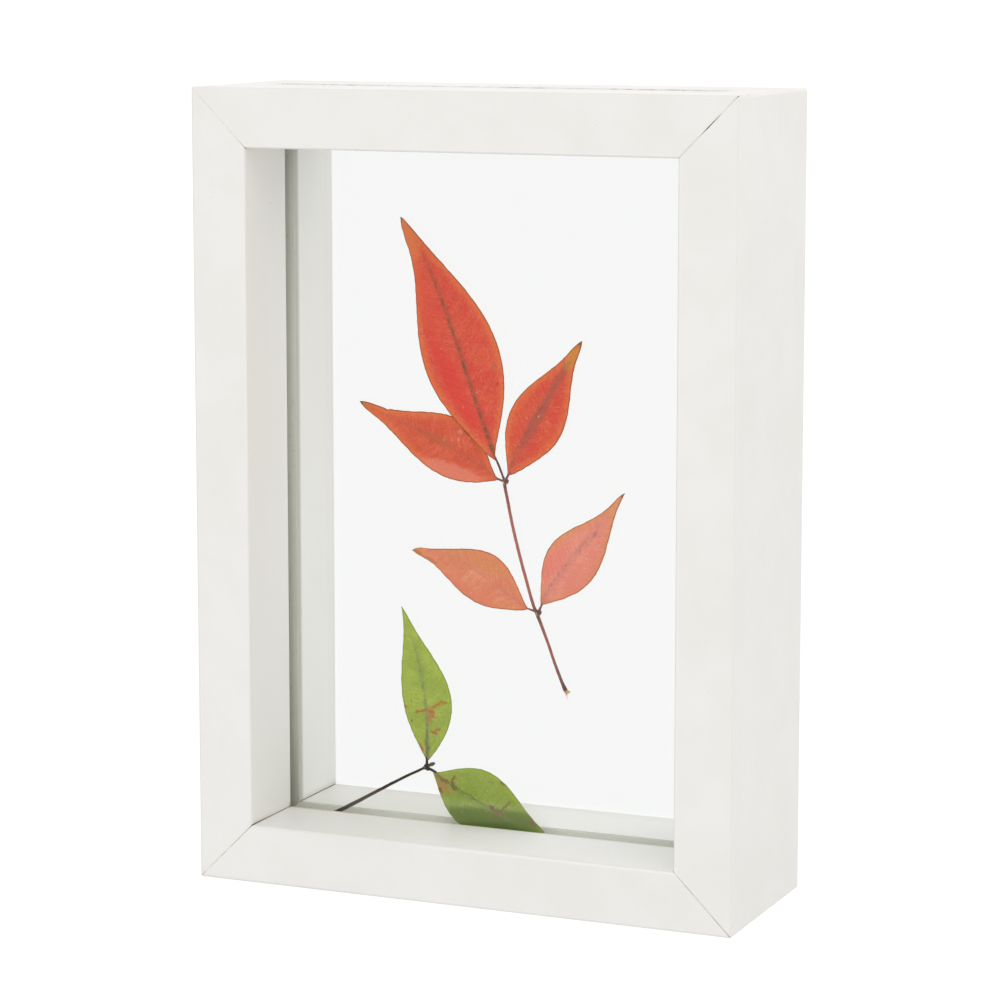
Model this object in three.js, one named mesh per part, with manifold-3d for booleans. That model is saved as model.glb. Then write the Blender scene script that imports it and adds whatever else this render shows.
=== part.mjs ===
// Pressed leaf frame: a deep white wooden frame with a slot in its top, two glass panes that slide down
// into it, and a red and a green sprig of leaves pressed between the panes.
//
// Millimetres. X is to the right, Y to the back and Z up. The origin is the middle of the underside.
// The front faces -Y.

import * as THREE from 'three';
import { mergeVertices } from 'three/addons/utils/BufferGeometryUtils.js';
import Module from 'manifold-3d';

// ---------- frame ----------
const WIDTH = 125; // outside, left to right
const HEIGHT = 175; // outside, bottom to top
const DEPTH = 44; // outside, front to back
const RAIL = 13; // face width of every rail
const MITRE_GAP = 0.3; // open hairline between two mitred rail ends
const GROOVE_WIDTH = 6; // front to back, centred in the depth
const GROOVE_DEPTH = 3.5; // into the inner face of each rail
const CUT_OVERSHOOT = 2; // how far a cutting box runs past the wood

// ---------- glass ----------
const PANE_THICKNESS = 2;
const PANE_SPACE = 1.4; // between the two panes, where the leaves lie
const PANE_CLEARANCE = 0.4; // from a pane's edge to the bottom of the groove
const PANE_HEIGHT = 160;

// ---------- leaves ----------
const LEAF_THICKNESS = 0.25;
const LEAF_STATIONS = 22; // points along each side of a leaflet
const LAYER = 0.35; // how far a front or back leaflet lies from the middle of the space
const MIDRIB_SHARPNESS = 2;

// ---------- stems ----------
const STEM_SIDES = 8;
const KNOB_SEGMENTS = 10;
const KNOB_RINGS = 6;

// A leaflet's base is [x, z]. Its heading is in degrees from +X towards +Z. bow is how far its midrib
// swings to the left of the straight line from base to tip, most at bowAt of the length. Each side has
// its half-width, where along the length it is widest, and how sharply it narrows to both ends.
const LEAFLETS = {
  red_sprig_terminal_leaflet: {
    base: [0.2, 94.2], length: 57.2, heading: 113.7, bow: -2.1, bowAt: 0.74, layer: -1,
    left: { width: 9.0, widestAt: 0.43, sharpness: 2.6 },
    right: { width: 9.2, widestAt: 0.41, sharpness: 3.8 },
  },
  red_sprig_upper_left_leaflet: {
    base: [0.7, 90.0], length: 37.1, heading: 155.1, bow: -0.9, bowAt: 0.4, layer: 1,
    left: { width: 6.5, widestAt: 0.38, sharpness: 2.6 },
    right: { width: 6.2, widestAt: 0.41, sharpness: 4.0 },
  },
  red_sprig_upper_right_leaflet: {
    base: [2.7, 91.0], length: 34.9, heading: 60.2, bow: 0.8, bowAt: 0.3, layer: 0,
    left: { width: 6.0, widestAt: 0.43, sharpness: 3.7 },
    right: { width: 6.6, widestAt: 0.4, sharpness: 3.2 },
  },
  red_sprig_lower_left_leaflet: {
    base: [7.8, 62.1], length: 30.1, heading: 158.8, bow: -3.0, bowAt: 0.68, layer: 0,
    left: { width: 6.2, widestAt: 0.47, sharpness: 2.3 },
    right: { width: 5.6, widestAt: 0.36, sharpness: 4.5 },
  },
  red_sprig_lower_right_leaflet: {
    base: [10.6, 62.9], length: 32.5, heading: 53.3, bow: 1.0, bowAt: 0.3, layer: 0,
    left: { width: 5.4, widestAt: 0.39, sharpness: 4.3 },
    right: { width: 6.3, widestAt: 0.37, sharpness: 2.9 },
  },
  green_sprig_upright_leaflet: {
    base: [-16.7, 25.7], length: 35.3, heading: 100.0, bow: -2.0, bowAt: 0.5, layer: 0,
    left: { width: 5.2, widestAt: 0.45, sharpness: 3.2 },
    right: { width: 6.8, widestAt: 0.39, sharpness: 3.1 },
  },
  green_sprig_lower_leaflet: {
    base: [-15.4, 24.0], length: 30.3, heading: -24.8, bow: -1.0, bowAt: 0.3, layer: 0,
    left: { width: 7.5, widestAt: 0.43, sharpness: 2.5 },
    right: { width: 7.2, widestAt: 0.44, sharpness: 3.2 },
  },
};

// A stem's tubes are lists of [x, z], and its knobs are swellings on it: [x, z] and a radius.
const STEMS = {
  red_sprig_stem: {
    tubes: [
      { radius: 0.27, path: [[2.0, 89.9], [2.8, 86.9], [4.7, 78.6], [7.1, 70.0], [9.8, 61.4]] },
      { radius: 0.3, path: [[9.8, 61.4], [12.5, 55.3], [16.1, 45.4], [17.0, 43.3]] },
      { radius: 0.2, path: [[2.0, 89.9], [1.3, 91.6], [0.4, 93.8]] },
      { radius: 0.2, path: [[9.8, 61.4], [9.0, 61.7], [8.3, 61.9]] },
    ],
    knobs: [{ at: [2.0, 89.9], radius: 0.45 }, { at: [9.8, 61.4], radius: 0.45 }, { at: [17.0, 43.3], radius: 0.45 }],
  },
  green_sprig_stem: {
    tubes: [
      { radius: 0.32, path: [[-43.0, 10.6], [-39.1, 12.5], [-28.0, 18.6], [-16.8, 24.6]] },
      { radius: 0.2, path: [[-16.8, 24.6], [-15.8, 25.2], [-14.9, 25.6]] },
    ],
    knobs: [{ at: [-16.8, 24.6], radius: 0.45 }, { at: [-14.8, 25.7], radius: 0.35 }],
  },
};

// ---------- colours ----------
const WHITE_PAINT = { color: 0xe9e8e4, roughness: 0.55, metalness: 0 };
const CLEAR_GLASS = { color: 0xe8f0ee, roughness: 0.05, metalness: 0 };
const RED_LEAF = { color: 0xc4442c, roughness: 0.7, metalness: 0 };
const PINK_LEAF = { color: 0xd0705a, roughness: 0.7, metalness: 0 };
const GREEN_LEAF = { color: 0x7d9e33, roughness: 0.7, metalness: 0 };
const RED_STEM = { color: 0x7a4a3c, roughness: 0.75, metalness: 0 };
const GREEN_STEM = { color: 0x3b3524, roughness: 0.75, metalness: 0 };

const wasm = await Module();
wasm.setup();

/** Turns a closed three.js geometry into a solid that can be cut and joined. */
function solidOf(geometry) {
  const bare = geometry.clone();
  bare.deleteAttribute('normal');
  bare.deleteAttribute('uv');
  const merged = mergeVertices(bare);
  return new wasm.Manifold(new wasm.Mesh({
    numProp: 3,
    vertProperties: new Float32Array(merged.attributes.position.array),
    triVerts: new Uint32Array(merged.index.array),
  }));
}

/** Turns a solid back into a three.js geometry. */
function geometryOf(solid) {
  const { vertProperties, triVerts } = solid.getMesh();
  const geometry = new THREE.BufferGeometry();
  geometry.setAttribute('position', new THREE.BufferAttribute(vertProperties, 3));
  geometry.setIndex(new THREE.BufferAttribute(triVerts, 1));
  geometry.computeVertexNormals();
  return geometry;
}

/** Extrudes an outline of [x, z] points to a plate of the given thickness, centred on Y = 0. */
function plate(outline, thickness) {
  const shape = new THREE.Shape(outline.map(([x, z]) => new THREE.Vector2(x, z)));
  const geometry = new THREE.ExtrudeGeometry(shape, { depth: thickness, bevelEnabled: false });
  return geometry.rotateX(Math.PI / 2).translate(0, thickness / 2, 0);
}

function namedMesh(name, geometry, finish) {
  const mesh = new THREE.Mesh(geometry, new THREE.MeshStandardMaterial(finish));
  mesh.name = name;
  return mesh;
}

// ---------- rails ----------

/**
 * One mitred rail of the given outside length. It lies along X with its outer face at Z = 0 and its
 * inner face at Z = RAIL. A slotted rail is open all the way from its inner to its outer face.
 */
function railGeometry(length, slotted) {
  const setback = (MITRE_GAP / 2) * Math.SQRT2;
  const outerHalf = length / 2 - setback;
  const innerHalf = outerHalf - RAIL;
  const outline = [[-outerHalf, 0], [outerHalf, 0], [innerHalf, RAIL], [-innerHalf, RAIL]];
  const pocketLength = length - 2 * (RAIL - GROOVE_DEPTH);
  const pocketBottom = slotted ? -CUT_OVERSHOOT : RAIL - GROOVE_DEPTH;
  const pocketHeight = RAIL + CUT_OVERSHOOT - pocketBottom;
  const pocket = new THREE.BoxGeometry(pocketLength, GROOVE_WIDTH, pocketHeight);
  pocket.translate(0, 0, pocketBottom + pocketHeight / 2);
  return geometryOf(solidOf(plate(outline, DEPTH)).subtract(solidOf(pocket)));
}

function makeFrame() {
  const frame = new THREE.Group();
  const bottom = namedMesh('bottom_rail', railGeometry(WIDTH, false), WHITE_PAINT);
  const top = namedMesh('top_rail', railGeometry(WIDTH, true), WHITE_PAINT);
  top.rotation.y = Math.PI;
  top.position.z = HEIGHT;
  const left = namedMesh('left_rail', railGeometry(HEIGHT, false), WHITE_PAINT);
  left.rotation.y = Math.PI / 2;
  left.position.set(-WIDTH / 2, 0, HEIGHT / 2);
  const right = namedMesh('right_rail', railGeometry(HEIGHT, false), WHITE_PAINT);
  right.rotation.y = -Math.PI / 2;
  right.position.set(WIDTH / 2, 0, HEIGHT / 2);
  frame.add(top, bottom, left, right);
  return frame;
}

// ---------- glass ----------

function makeGlass() {
  const glass = new THREE.Group();
  const grooveBottom = RAIL - GROOVE_DEPTH;
  const paneWidth = WIDTH - 2 * grooveBottom - 2 * PANE_CLEARANCE;
  const fromMiddle = (PANE_SPACE + PANE_THICKNESS) / 2;
  for (const [name, side] of [['front_glass_pane', -1], ['back_glass_pane', 1]]) {
    const pane = namedMesh(name, new THREE.BoxGeometry(paneWidth, PANE_THICKNESS, PANE_HEIGHT), CLEAR_GLASS);
    pane.position.set(0, side * fromMiddle, grooveBottom + PANE_CLEARANCE + PANE_HEIGHT / 2);
    glass.add(pane);
  }
  return glass;
}

// ---------- leaves ----------

/** A hump from 0 to 1 and back to 0 as t goes from 0 to 1, with its top at peak. */
function hump(t, peak, sharpness) {
  return ((t / peak) ** peak * ((1 - t) / (1 - peak)) ** (1 - peak)) ** sharpness;
}

/** The outline of a leaflet that points along +X from its base at the origin, as [x, z] points. */
function leafletOutline({ length, bow, bowAt, left, right }) {
  const side = ({ width, widestAt, sharpness }, sign) => {
    const points = [];
    for (let i = 1; i < LEAF_STATIONS; i += 1) {
      const t = i / LEAF_STATIONS;
      const midrib = bow * hump(t, bowAt, MIDRIB_SHARPNESS);
      points.push([t * length, midrib + sign * width * hump(t, widestAt, sharpness)]);
    }
    return points;
  };
  return [[0, 0], ...side(right, -1), [length, 0], ...side(left, 1).reverse()];
}

function makeLeaflet(name, leaflet, finish) {
  const mesh = namedMesh(name, plate(leafletOutline(leaflet), LEAF_THICKNESS), finish);
  mesh.rotation.y = -THREE.MathUtils.degToRad(leaflet.heading);
  mesh.position.set(leaflet.base[0], leaflet.layer * LAYER, leaflet.base[1]);
  return mesh;
}

// ---------- stems ----------

function tube({ radius, path }) {
  const curve = new THREE.CatmullRomCurve3(path.map(([x, z]) => new THREE.Vector3(x, 0, z)));
  const section = new THREE.Shape();
  for (let i = 0; i < STEM_SIDES; i += 1) {
    const angle = (2 * Math.PI * i) / STEM_SIDES;
    const point = [radius * Math.cos(angle), radius * Math.sin(angle)];
    if (i === 0) section.moveTo(...point);
    else section.lineTo(...point);
  }
  return solidOf(new THREE.ExtrudeGeometry(section, { steps: 4 * (path.length - 1), extrudePath: curve }));
}

function knob({ at, radius }) {
  const ball = new THREE.SphereGeometry(radius, KNOB_SEGMENTS, KNOB_RINGS);
  return solidOf(ball.translate(at[0], 0, at[1]));
}

function makeStem(name, { tubes, knobs }, finish) {
  const [first, ...rest] = [...tubes.map(tube), ...knobs.map(knob)];
  return namedMesh(name, geometryOf(rest.reduce((stem, piece) => stem.add(piece), first)), finish);
}

function makeSprig(prefix, stemFinish, finishOf) {
  const sprig = new THREE.Group();
  const stemName = `${prefix}_stem`;
  sprig.add(makeStem(stemName, STEMS[stemName], stemFinish));
  for (const [name, leaflet] of Object.entries(LEAFLETS)) {
    if (name.startsWith(prefix)) sprig.add(makeLeaflet(name, leaflet, finishOf(name)));
  }
  return sprig;
}

const pressedLeafFrame = new THREE.Group();
pressedLeafFrame.add(
  makeFrame(),
  makeGlass(),
  makeSprig('red_sprig', RED_STEM, (name) => (name.includes('lower') ? PINK_LEAF : RED_LEAF)),
  makeSprig('green_sprig', GREEN_STEM, () => GREEN_LEAF),
);

export default pressedLeafFrame;
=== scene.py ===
"""Looks of the pressed leaf frame: painted mitred rails, two glass panes and two pressed sprigs of leaves.

Sizes are in millimetres and turned into metres when a mesh is made. X is to the right, Y to the back and Z
up. The front faces -Y. A leaflet has a frame of its own: along from its base to its tip, and left of that.
"""

import logging
import math
import random
from dataclasses import dataclass
from enum import Enum

import bmesh
import bpy
from mathutils import Matrix, Vector

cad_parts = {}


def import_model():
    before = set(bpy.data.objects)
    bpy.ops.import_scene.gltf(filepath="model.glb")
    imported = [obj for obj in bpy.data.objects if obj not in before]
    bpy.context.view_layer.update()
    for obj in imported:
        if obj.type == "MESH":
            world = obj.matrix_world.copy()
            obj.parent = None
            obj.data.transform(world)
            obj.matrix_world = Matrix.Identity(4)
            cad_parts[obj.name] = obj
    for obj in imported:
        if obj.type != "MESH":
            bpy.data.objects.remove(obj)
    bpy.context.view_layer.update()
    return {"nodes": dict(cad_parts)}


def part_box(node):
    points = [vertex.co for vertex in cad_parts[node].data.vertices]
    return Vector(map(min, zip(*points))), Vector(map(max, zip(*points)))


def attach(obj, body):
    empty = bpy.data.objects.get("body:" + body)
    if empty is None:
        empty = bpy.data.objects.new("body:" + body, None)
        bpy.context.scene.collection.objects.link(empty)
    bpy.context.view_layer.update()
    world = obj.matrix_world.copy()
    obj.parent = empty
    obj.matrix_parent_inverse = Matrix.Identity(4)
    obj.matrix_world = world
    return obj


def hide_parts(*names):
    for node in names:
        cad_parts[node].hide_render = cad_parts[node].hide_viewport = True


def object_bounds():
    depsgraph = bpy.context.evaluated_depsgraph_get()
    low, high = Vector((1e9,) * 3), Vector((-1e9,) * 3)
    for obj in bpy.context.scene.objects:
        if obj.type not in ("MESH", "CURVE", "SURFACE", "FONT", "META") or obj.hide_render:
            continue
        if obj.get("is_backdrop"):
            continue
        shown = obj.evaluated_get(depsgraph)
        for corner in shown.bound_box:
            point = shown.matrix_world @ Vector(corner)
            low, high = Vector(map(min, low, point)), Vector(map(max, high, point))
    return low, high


LOG = logging.getLogger("pressed_leaf_frame")
MM = 0.001

Colour = tuple[float, float, float, float]


def srgb(red: float, green: float, blue: float) -> Colour:
    """Turns a colour counted from 0 to 255 into linear light.

    Args:
        red: Red, 0 to 255.
        green: Green, 0 to 255.
        blue: Blue, 0 to 255.

    Returns:
        The linear colour, with an alpha of 1.
    """
    parts = [part / 255.0 for part in (red, green, blue)]
    linear = [part / 12.92 if part <= 0.04045 else ((part + 0.055) / 1.055) ** 2.4 for part in parts]
    return (linear[0], linear[1], linear[2], 1.0)


# ---- node trees


class Value:
    """An output of a node. Python's own operators on it add Math nodes."""

    def __init__(self, tree: "Tree", socket: bpy.types.NodeSocket) -> None:
        """Wraps one output socket of a tree."""
        self.tree = tree
        self.socket = socket

    def out(self, name: str | int) -> "Value":
        """Gives another output of the same node."""
        return Value(self.tree, self.socket.node.outputs[name])

    def __add__(self, other: "Value | float") -> "Value":
        """This value plus another."""
        return self.tree.maths("ADD", self, other)

    def __radd__(self, other: float) -> "Value":
        """A number plus this value."""
        return self.tree.maths("ADD", other, self)

    def __sub__(self, other: "Value | float") -> "Value":
        """This value less another."""
        return self.tree.maths("SUBTRACT", self, other)

    def __rsub__(self, other: float) -> "Value":
        """A number less this value."""
        return self.tree.maths("SUBTRACT", other, self)

    def __mul__(self, other: "Value | float") -> "Value":
        """This value times another."""
        return self.tree.maths("MULTIPLY", self, other)

    def __rmul__(self, other: float) -> "Value":
        """A number times this value."""
        return self.tree.maths("MULTIPLY", other, self)

    def __truediv__(self, other: "Value | float") -> "Value":
        """This value divided by another."""
        return self.tree.maths("DIVIDE", self, other)

    def __pow__(self, other: "Value | float") -> "Value":
        """This value to the power of another."""
        return self.tree.maths("POWER", self, other)

    def __gt__(self, other: "Value | float") -> "Value":
        """1 where this value is above another, and 0 elsewhere."""
        return self.tree.maths("GREATER_THAN", self, other)

    def __abs__(self) -> "Value":
        """This value without its sign."""
        return self.tree.maths("ABSOLUTE", self)


class Tree:
    """A node tree that is filled by method calls."""

    def __init__(self, group: bpy.types.NodeTree) -> None:
        """Wraps a node tree, whatever it holds so far."""
        self.group = group

    def add(self, kind: str, settings: dict | None = None, sockets: dict | None = None) -> Value:
        """Adds any node.

        Args:
            kind: The node's type.
            settings: The node's own settings, which are set first.
            sockets: What goes into its inputs, by name or number: a Value, a list of them, or a plain value.

        Returns:
            The node's first output.
        """
        node = self.group.nodes.new(kind)
        for name, setting in (settings or {}).items():
            setattr(node, name, setting)
        for name, fed in (sockets or {}).items():
            self._feed(node.inputs[name], fed)
        return Value(self, node.outputs[0] if node.outputs else None)

    def _feed(self, socket: bpy.types.NodeSocket, fed: object) -> None:
        """Links or sets one input.

        Args:
            socket: The input.
            fed: A Value, a list of them, or a plain value.
        """
        for one in fed if isinstance(fed, list) else [fed]:
            if isinstance(one, Value):
                self.group.links.new(one.socket, socket)
            else:
                socket.default_value = one

    def maths(self, operation: str, *terms: "Value | float") -> Value:
        """Adds a Math node on its terms."""
        return self.add("ShaderNodeMath", {"operation": operation}, dict(enumerate(terms)))

    def smooth(self, value: Value, low: float, high: float) -> Value:
        """Rises smoothly from 0 at low to 1 at high, or falls where low is the larger."""
        settings = {"interpolation_type": "SMOOTHSTEP"}
        return self.add("ShaderNodeMapRange", settings, {0: value, 1: low, 2: high})

    def vector(self, x: "Value | float", y: "Value | float", z: "Value | float") -> Value:
        """Joins three numbers into a vector."""
        return self.add("ShaderNodeCombineXYZ", None, {0: x, 1: y, 2: z})

    def split(self, vector: Value) -> tuple[Value, Value, Value]:
        """Parts a vector into its three numbers."""
        first = self.add("ShaderNodeSeparateXYZ", None, {0: vector})
        return first, first.out(1), first.out(2)

    def stretch(self, vector: Value, x: float, y: float, z: float) -> Value:
        """Multiplies each part of a vector by a number of its own."""
        return self.add("ShaderNodeVectorMath", {"operation": "MULTIPLY"}, {0: vector, 1: (x, y, z)})

    def scaled(self, vector: Value, by: "Value | float") -> Value:
        """Multiplies a whole vector by one number."""
        return self.add("ShaderNodeVectorMath", {"operation": "SCALE"}, {0: vector, "Scale": by})

    def centred(self, vector: Value) -> Value:
        """Takes a half from each part of a vector, as from a noise's colour."""
        sockets = {0: vector, 1: (0.5, 0.5, 0.5)}
        return self.add("ShaderNodeVectorMath", {"operation": "SUBTRACT"}, sockets)

    def noise(self, vector: Value, scale: float, detail: float = 2.0, roughness: float = 0.5) -> Value:
        """Adds soft noise, from about 0.2 to 0.8.

        Args:
            vector: Where the noise is read.
            scale: Lumps for each unit of the vector.
            detail: How many finer layers are added.
            roughness: How strong the finer layers are.

        Returns:
            The noise. Its output "Color" holds three of them.
        """
        sockets = {"Vector": vector, "Scale": scale, "Detail": detail, "Roughness": roughness}
        return self.add("ShaderNodeTexNoise", None, sockets)

    def blend(self, share: "Value | float", first: "Value | Colour", second: "Value | Colour") -> Value:
        """Mixes two colours: the first where share is 0, and the second where it is 1."""
        node = self.add("ShaderNodeMix", {"data_type": "RGBA"}, {0: share, 6: first, 7: second})
        return node.out(2)


class Dressing(Tree):
    """The shader tree of one material."""

    def __init__(self, name: str) -> None:
        """Makes a material with an empty tree.

        Args:
            name: The material's name.
        """
        self.material = bpy.data.materials.new(name)
        self.material.use_nodes = True
        super().__init__(self.material.node_tree)
        self.group.nodes.clear()

    def place(self) -> Value:
        """The point on the piece, in millimetres of the whole frame."""
        spot = self.add("ShaderNodeTexCoord").out("Object")
        return self.stretch(spot, 1.0 / MM, 1.0 / MM, 1.0 / MM)

    def attribute(self, name: str) -> Value:
        """A vector that the mesh holds for each point. Its output "Fac" reads a plain number."""
        node = self.add("ShaderNodeAttribute", {"attribute_type": "GEOMETRY", "attribute_name": name})
        return node.out("Vector")

    def distance(self, vector: Value, point: tuple[float, float, float]) -> Value:
        """How far a vector lies from a fixed point."""
        node = self.add("ShaderNodeVectorMath", {"operation": "DISTANCE"}, {0: vector, 1: point})
        return node.out("Value")

    def bump(self, height: Value, depth: float) -> Value:
        """Turns a height of 0 to 1 into a dented surface, depth millimetres deep."""
        return self.add("ShaderNodeBump", None, {"Strength": 1.0, "Distance": depth * MM, "Height": height})

    def principled(self, **sockets: object) -> Value:
        """Adds a Principled shader. An underscore in a name stands for a space."""
        named = {name.replace("_", " "): fed for name, fed in sockets.items()}
        return self.add("ShaderNodeBsdfPrincipled", None, named)

    def finish(self, shader: Value) -> bpy.types.Material:
        """Ends the tree in its output and gives the material."""
        self.add("ShaderNodeOutputMaterial", None, {"Surface": shader})
        return self.material


class Kind(Enum):
    """What a named input of a recipe holds."""

    NUMBER = "NodeSocketFloat"
    COUNT = "NodeSocketInt"
    MATERIAL = "NodeSocketMaterial"
    SHAPE = "NodeSocketGeometry"


class Recipe(Tree):
    """A Geometry Nodes tree with named inputs, which makes one plain mesh each time it is used."""

    def __init__(self, name: str, inputs: dict[str, Kind]) -> None:
        """Makes the tree's inputs and its output.

        Args:
            name: The tree's name.
            inputs: The kind of each named input, with the shape first if it takes one.
        """
        super().__init__(bpy.data.node_groups.new(name, "GeometryNodeTree"))
        for input_name, kind in inputs.items():
            self.group.interface.new_socket(input_name, in_out="INPUT", socket_type=kind.value)
        self.group.interface.new_socket("Shape", in_out="OUTPUT", socket_type=Kind.SHAPE.value)
        self.entry = self.add("NodeGroupInput")

    def given(self, name: str) -> Value:
        """The value of a named input."""
        return self.entry.out(name)

    def store(self, shape: Value, name: str, held: Value, kind: str) -> Value:
        """Stores a value for each point of a shape.

        Args:
            shape: The shape.
            name: The attribute's name.
            held: What it holds.
            kind: FLOAT or FLOAT_VECTOR.

        Returns:
            The shape with its attribute.
        """
        settings = {"data_type": kind, "domain": "POINT"}
        sockets = {"Geometry": shape, "Name": name, "Value": held}
        return self.add("GeometryNodeStoreNamedAttribute", settings, sockets)

    def stored(self, name: str) -> Value:
        """Reads a number that each point holds."""
        return self.add("GeometryNodeInputNamedAttribute", {"data_type": "FLOAT"}, {"Name": name})

    def move(self, shape: Value, place: Value) -> Value:
        """Moves each point of a shape to a place."""
        return self.add("GeometryNodeSetPosition", None, {"Geometry": shape, "Position": place})

    def circle(self, sides: int) -> Value:
        """A round section of radius 1, with so many sides."""
        return self.add("GeometryNodeCurvePrimitiveCircle", None, {"Resolution": sides, "Radius": 1.0})

    def sweep(self, curve: Value, section: Value, size: Value) -> Value:
        """Sweeps a section along curves at a size of its own in each point, with closed ends."""
        sockets = {"Curve": curve, "Profile Curve": section, "Scale": size, "Fill Caps": True}
        return self.add("GeometryNodeCurveToMesh", None, sockets)

    def close(self, shape: Value) -> None:
        """Ends the tree: instances made real, smooth faces, and the material on them.

        Args:
            shape: The finished shape.
        """
        real = self.add("GeometryNodeRealizeInstances", None, {"Geometry": shape})
        soft = self.add("GeometryNodeSetShadeSmooth", None, {"Geometry": real})
        sockets = {"Geometry": soft, "Material": self.given("Material")}
        dressed = self.add("GeometryNodeSetMaterial", None, sockets)
        self.add("NodeGroupOutput", None, {0: dressed})

    def make(
        self, name: str, given: dict[str, object], host: bpy.types.Mesh | None = None
    ) -> bpy.types.Object:
        """Runs the tree once and keeps its result as a plain mesh.

        Args:
            name: The new piece's name.
            given: The value of each named input.
            host: The mesh that the tree starts from, if it takes one.

        Returns:
            The piece, with its mesh still in the tree's own millimetres.
        """
        piece = bpy.data.objects.new(name, host or bpy.data.meshes.new(name))
        bpy.context.scene.collection.objects.link(piece)
        modifier = piece.modifiers.new("recipe", "NODES")
        modifier.node_group = self.group
        for item in self.group.interface.items_tree:
            if item.in_out == "INPUT" and item.name in given:
                modifier[item.identifier] = given[item.name]
        graph = bpy.context.evaluated_depsgraph_get()
        mesh = bpy.data.meshes.new_from_object(piece.evaluated_get(graph))
        piece.modifiers.clear()
        piece.data = mesh
        mesh.name = name
        return piece


def modelled(name: str, work: bmesh.types.BMesh, *dresses: bpy.types.Material) -> bpy.types.Object:
    """Turns finished faces into an object of the scene.

    Args:
        name: The object's name.
        work: The faces, which are freed.
        dresses: The materials, in the order of the faces' material numbers.

    Returns:
        The object.
    """
    mesh = bpy.data.meshes.new(name)
    work.to_mesh(mesh)
    work.free()
    for dress in dresses:
        mesh.materials.append(dress)
    piece = bpy.data.objects.new(mesh.name, mesh)
    bpy.context.scene.collection.objects.link(piece)
    return piece


# ---- the frame's own sizes


@dataclass(frozen=True)
class FrameSizes:
    """Sizes of the wooden frame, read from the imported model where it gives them."""

    width: float
    height: float
    depth: float
    rail: float = 13.0
    groove_half: float = 3.0
    groove_depth: float = 3.5
    slot_half_length: float = 52.8
    slot_half_width: float = 2.97

    @classmethod
    def from_model(cls) -> "FrameSizes":
        """Reads the frame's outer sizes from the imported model.

        Returns:
            The sizes.
        """
        low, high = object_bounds()
        size = (Vector(high) - Vector(low)) / MM
        return cls(width=size.x, height=size.z, depth=size.y)


class Side(Enum):
    """One of the four rails, by the name of its node."""

    TOP = "top_rail"
    BOTTOM = "bottom_rail"
    LEFT = "left_rail"
    RIGHT = "right_rail"


class Corner(Enum):
    """One of the frame's corners as (right, up), each -1 or 1."""

    TOP_LEFT = (-1, 1)
    TOP_RIGHT = (1, 1)
    BOTTOM_LEFT = (-1, -1)
    BOTTOM_RIGHT = (1, -1)


@dataclass(frozen=True)
class MitreJoint:
    """How far a mitre stands open, and how much stain shows along it."""

    hairline: float
    crack: float
    crack_at: float
    crack_spread: float
    tip: float
    stain: float
    reach_in: float
    tip_reach: float = 0.03

    def opening(self, along: float, back: float) -> float:
        """Gives the gap between the two rails.

        Args:
            along: 0 at the frame's outer corner to 1 at the inner one.
            back: Millimetres behind the front face.

        Returns:
            The gap in millimetres.
        """
        front = math.exp(-((back / self.reach_in) ** 2))
        crack = self.crack * math.exp(-(((along - self.crack_at) / self.crack_spread) ** 2))
        tip = self.tip * math.exp(-((along / self.tip_reach) ** 2))
        ripple = 1.0 + 0.18 * math.sin(41.0 * along) + 0.12 * math.sin(93.0 * along + 1.0)
        return self.hairline * ripple + (crack * ripple + tip) * front


MITRES = {
    Corner.TOP_LEFT: MitreJoint(0.004, 0.05, 1.0, 0.13, 0.0, 0.1, 3.0),
    Corner.TOP_RIGHT: MitreJoint(0.006, 0.19, 0.46, 0.13, 0.2, 0.3, 2.0),
    Corner.BOTTOM_LEFT: MitreJoint(0.01, 0.1, 1.0, 0.1, 0.02, 0.45, 5.0),
    Corner.BOTTOM_RIGHT: MitreJoint(0.012, 0.03, 0.1, 0.2, 0.04, 0.5, 6.0),
}

RAIL_ENDS = {
    Side.BOTTOM: (Corner.BOTTOM_LEFT, Corner.BOTTOM_RIGHT),
    Side.TOP: (Corner.TOP_RIGHT, Corner.TOP_LEFT),
    Side.LEFT: (Corner.TOP_LEFT, Corner.BOTTOM_LEFT),
    Side.RIGHT: (Corner.BOTTOM_RIGHT, Corner.TOP_RIGHT),
}


# ---- finishes


@dataclass(frozen=True)
class Finish:
    """A surface that dresses a piece."""

    name: str

    def material(self) -> bpy.types.Material:
        """Builds the material."""
        tree = Dressing(self.name)
        return tree.finish(self.shade(tree))

    def shade(self, tree: Dressing) -> Value:
        """Builds the shader in an empty tree.

        Args:
            tree: The tree.

        Returns:
            The shader.
        """
        raise NotImplementedError


class Grain(Enum):
    """Which way the wood runs under the paint, as how fast its lines change along X, Y and Z."""

    ACROSS = (0.012, 0.9, 0.9)
    UPRIGHT = (0.9, 0.9, 0.012)


@dataclass(frozen=True)
class Nib:
    """A grain of dust or a chip in the paint."""

    at: tuple[float, float, float]
    radius: float
    strength: float


@dataclass(frozen=True)
class PaintPoint:
    """The point of the wood that a shader looks at, and how deep it lies below the frame's outer faces."""

    place: Value
    x: Value
    y: Value
    z: Value
    depth_in: Value


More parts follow.
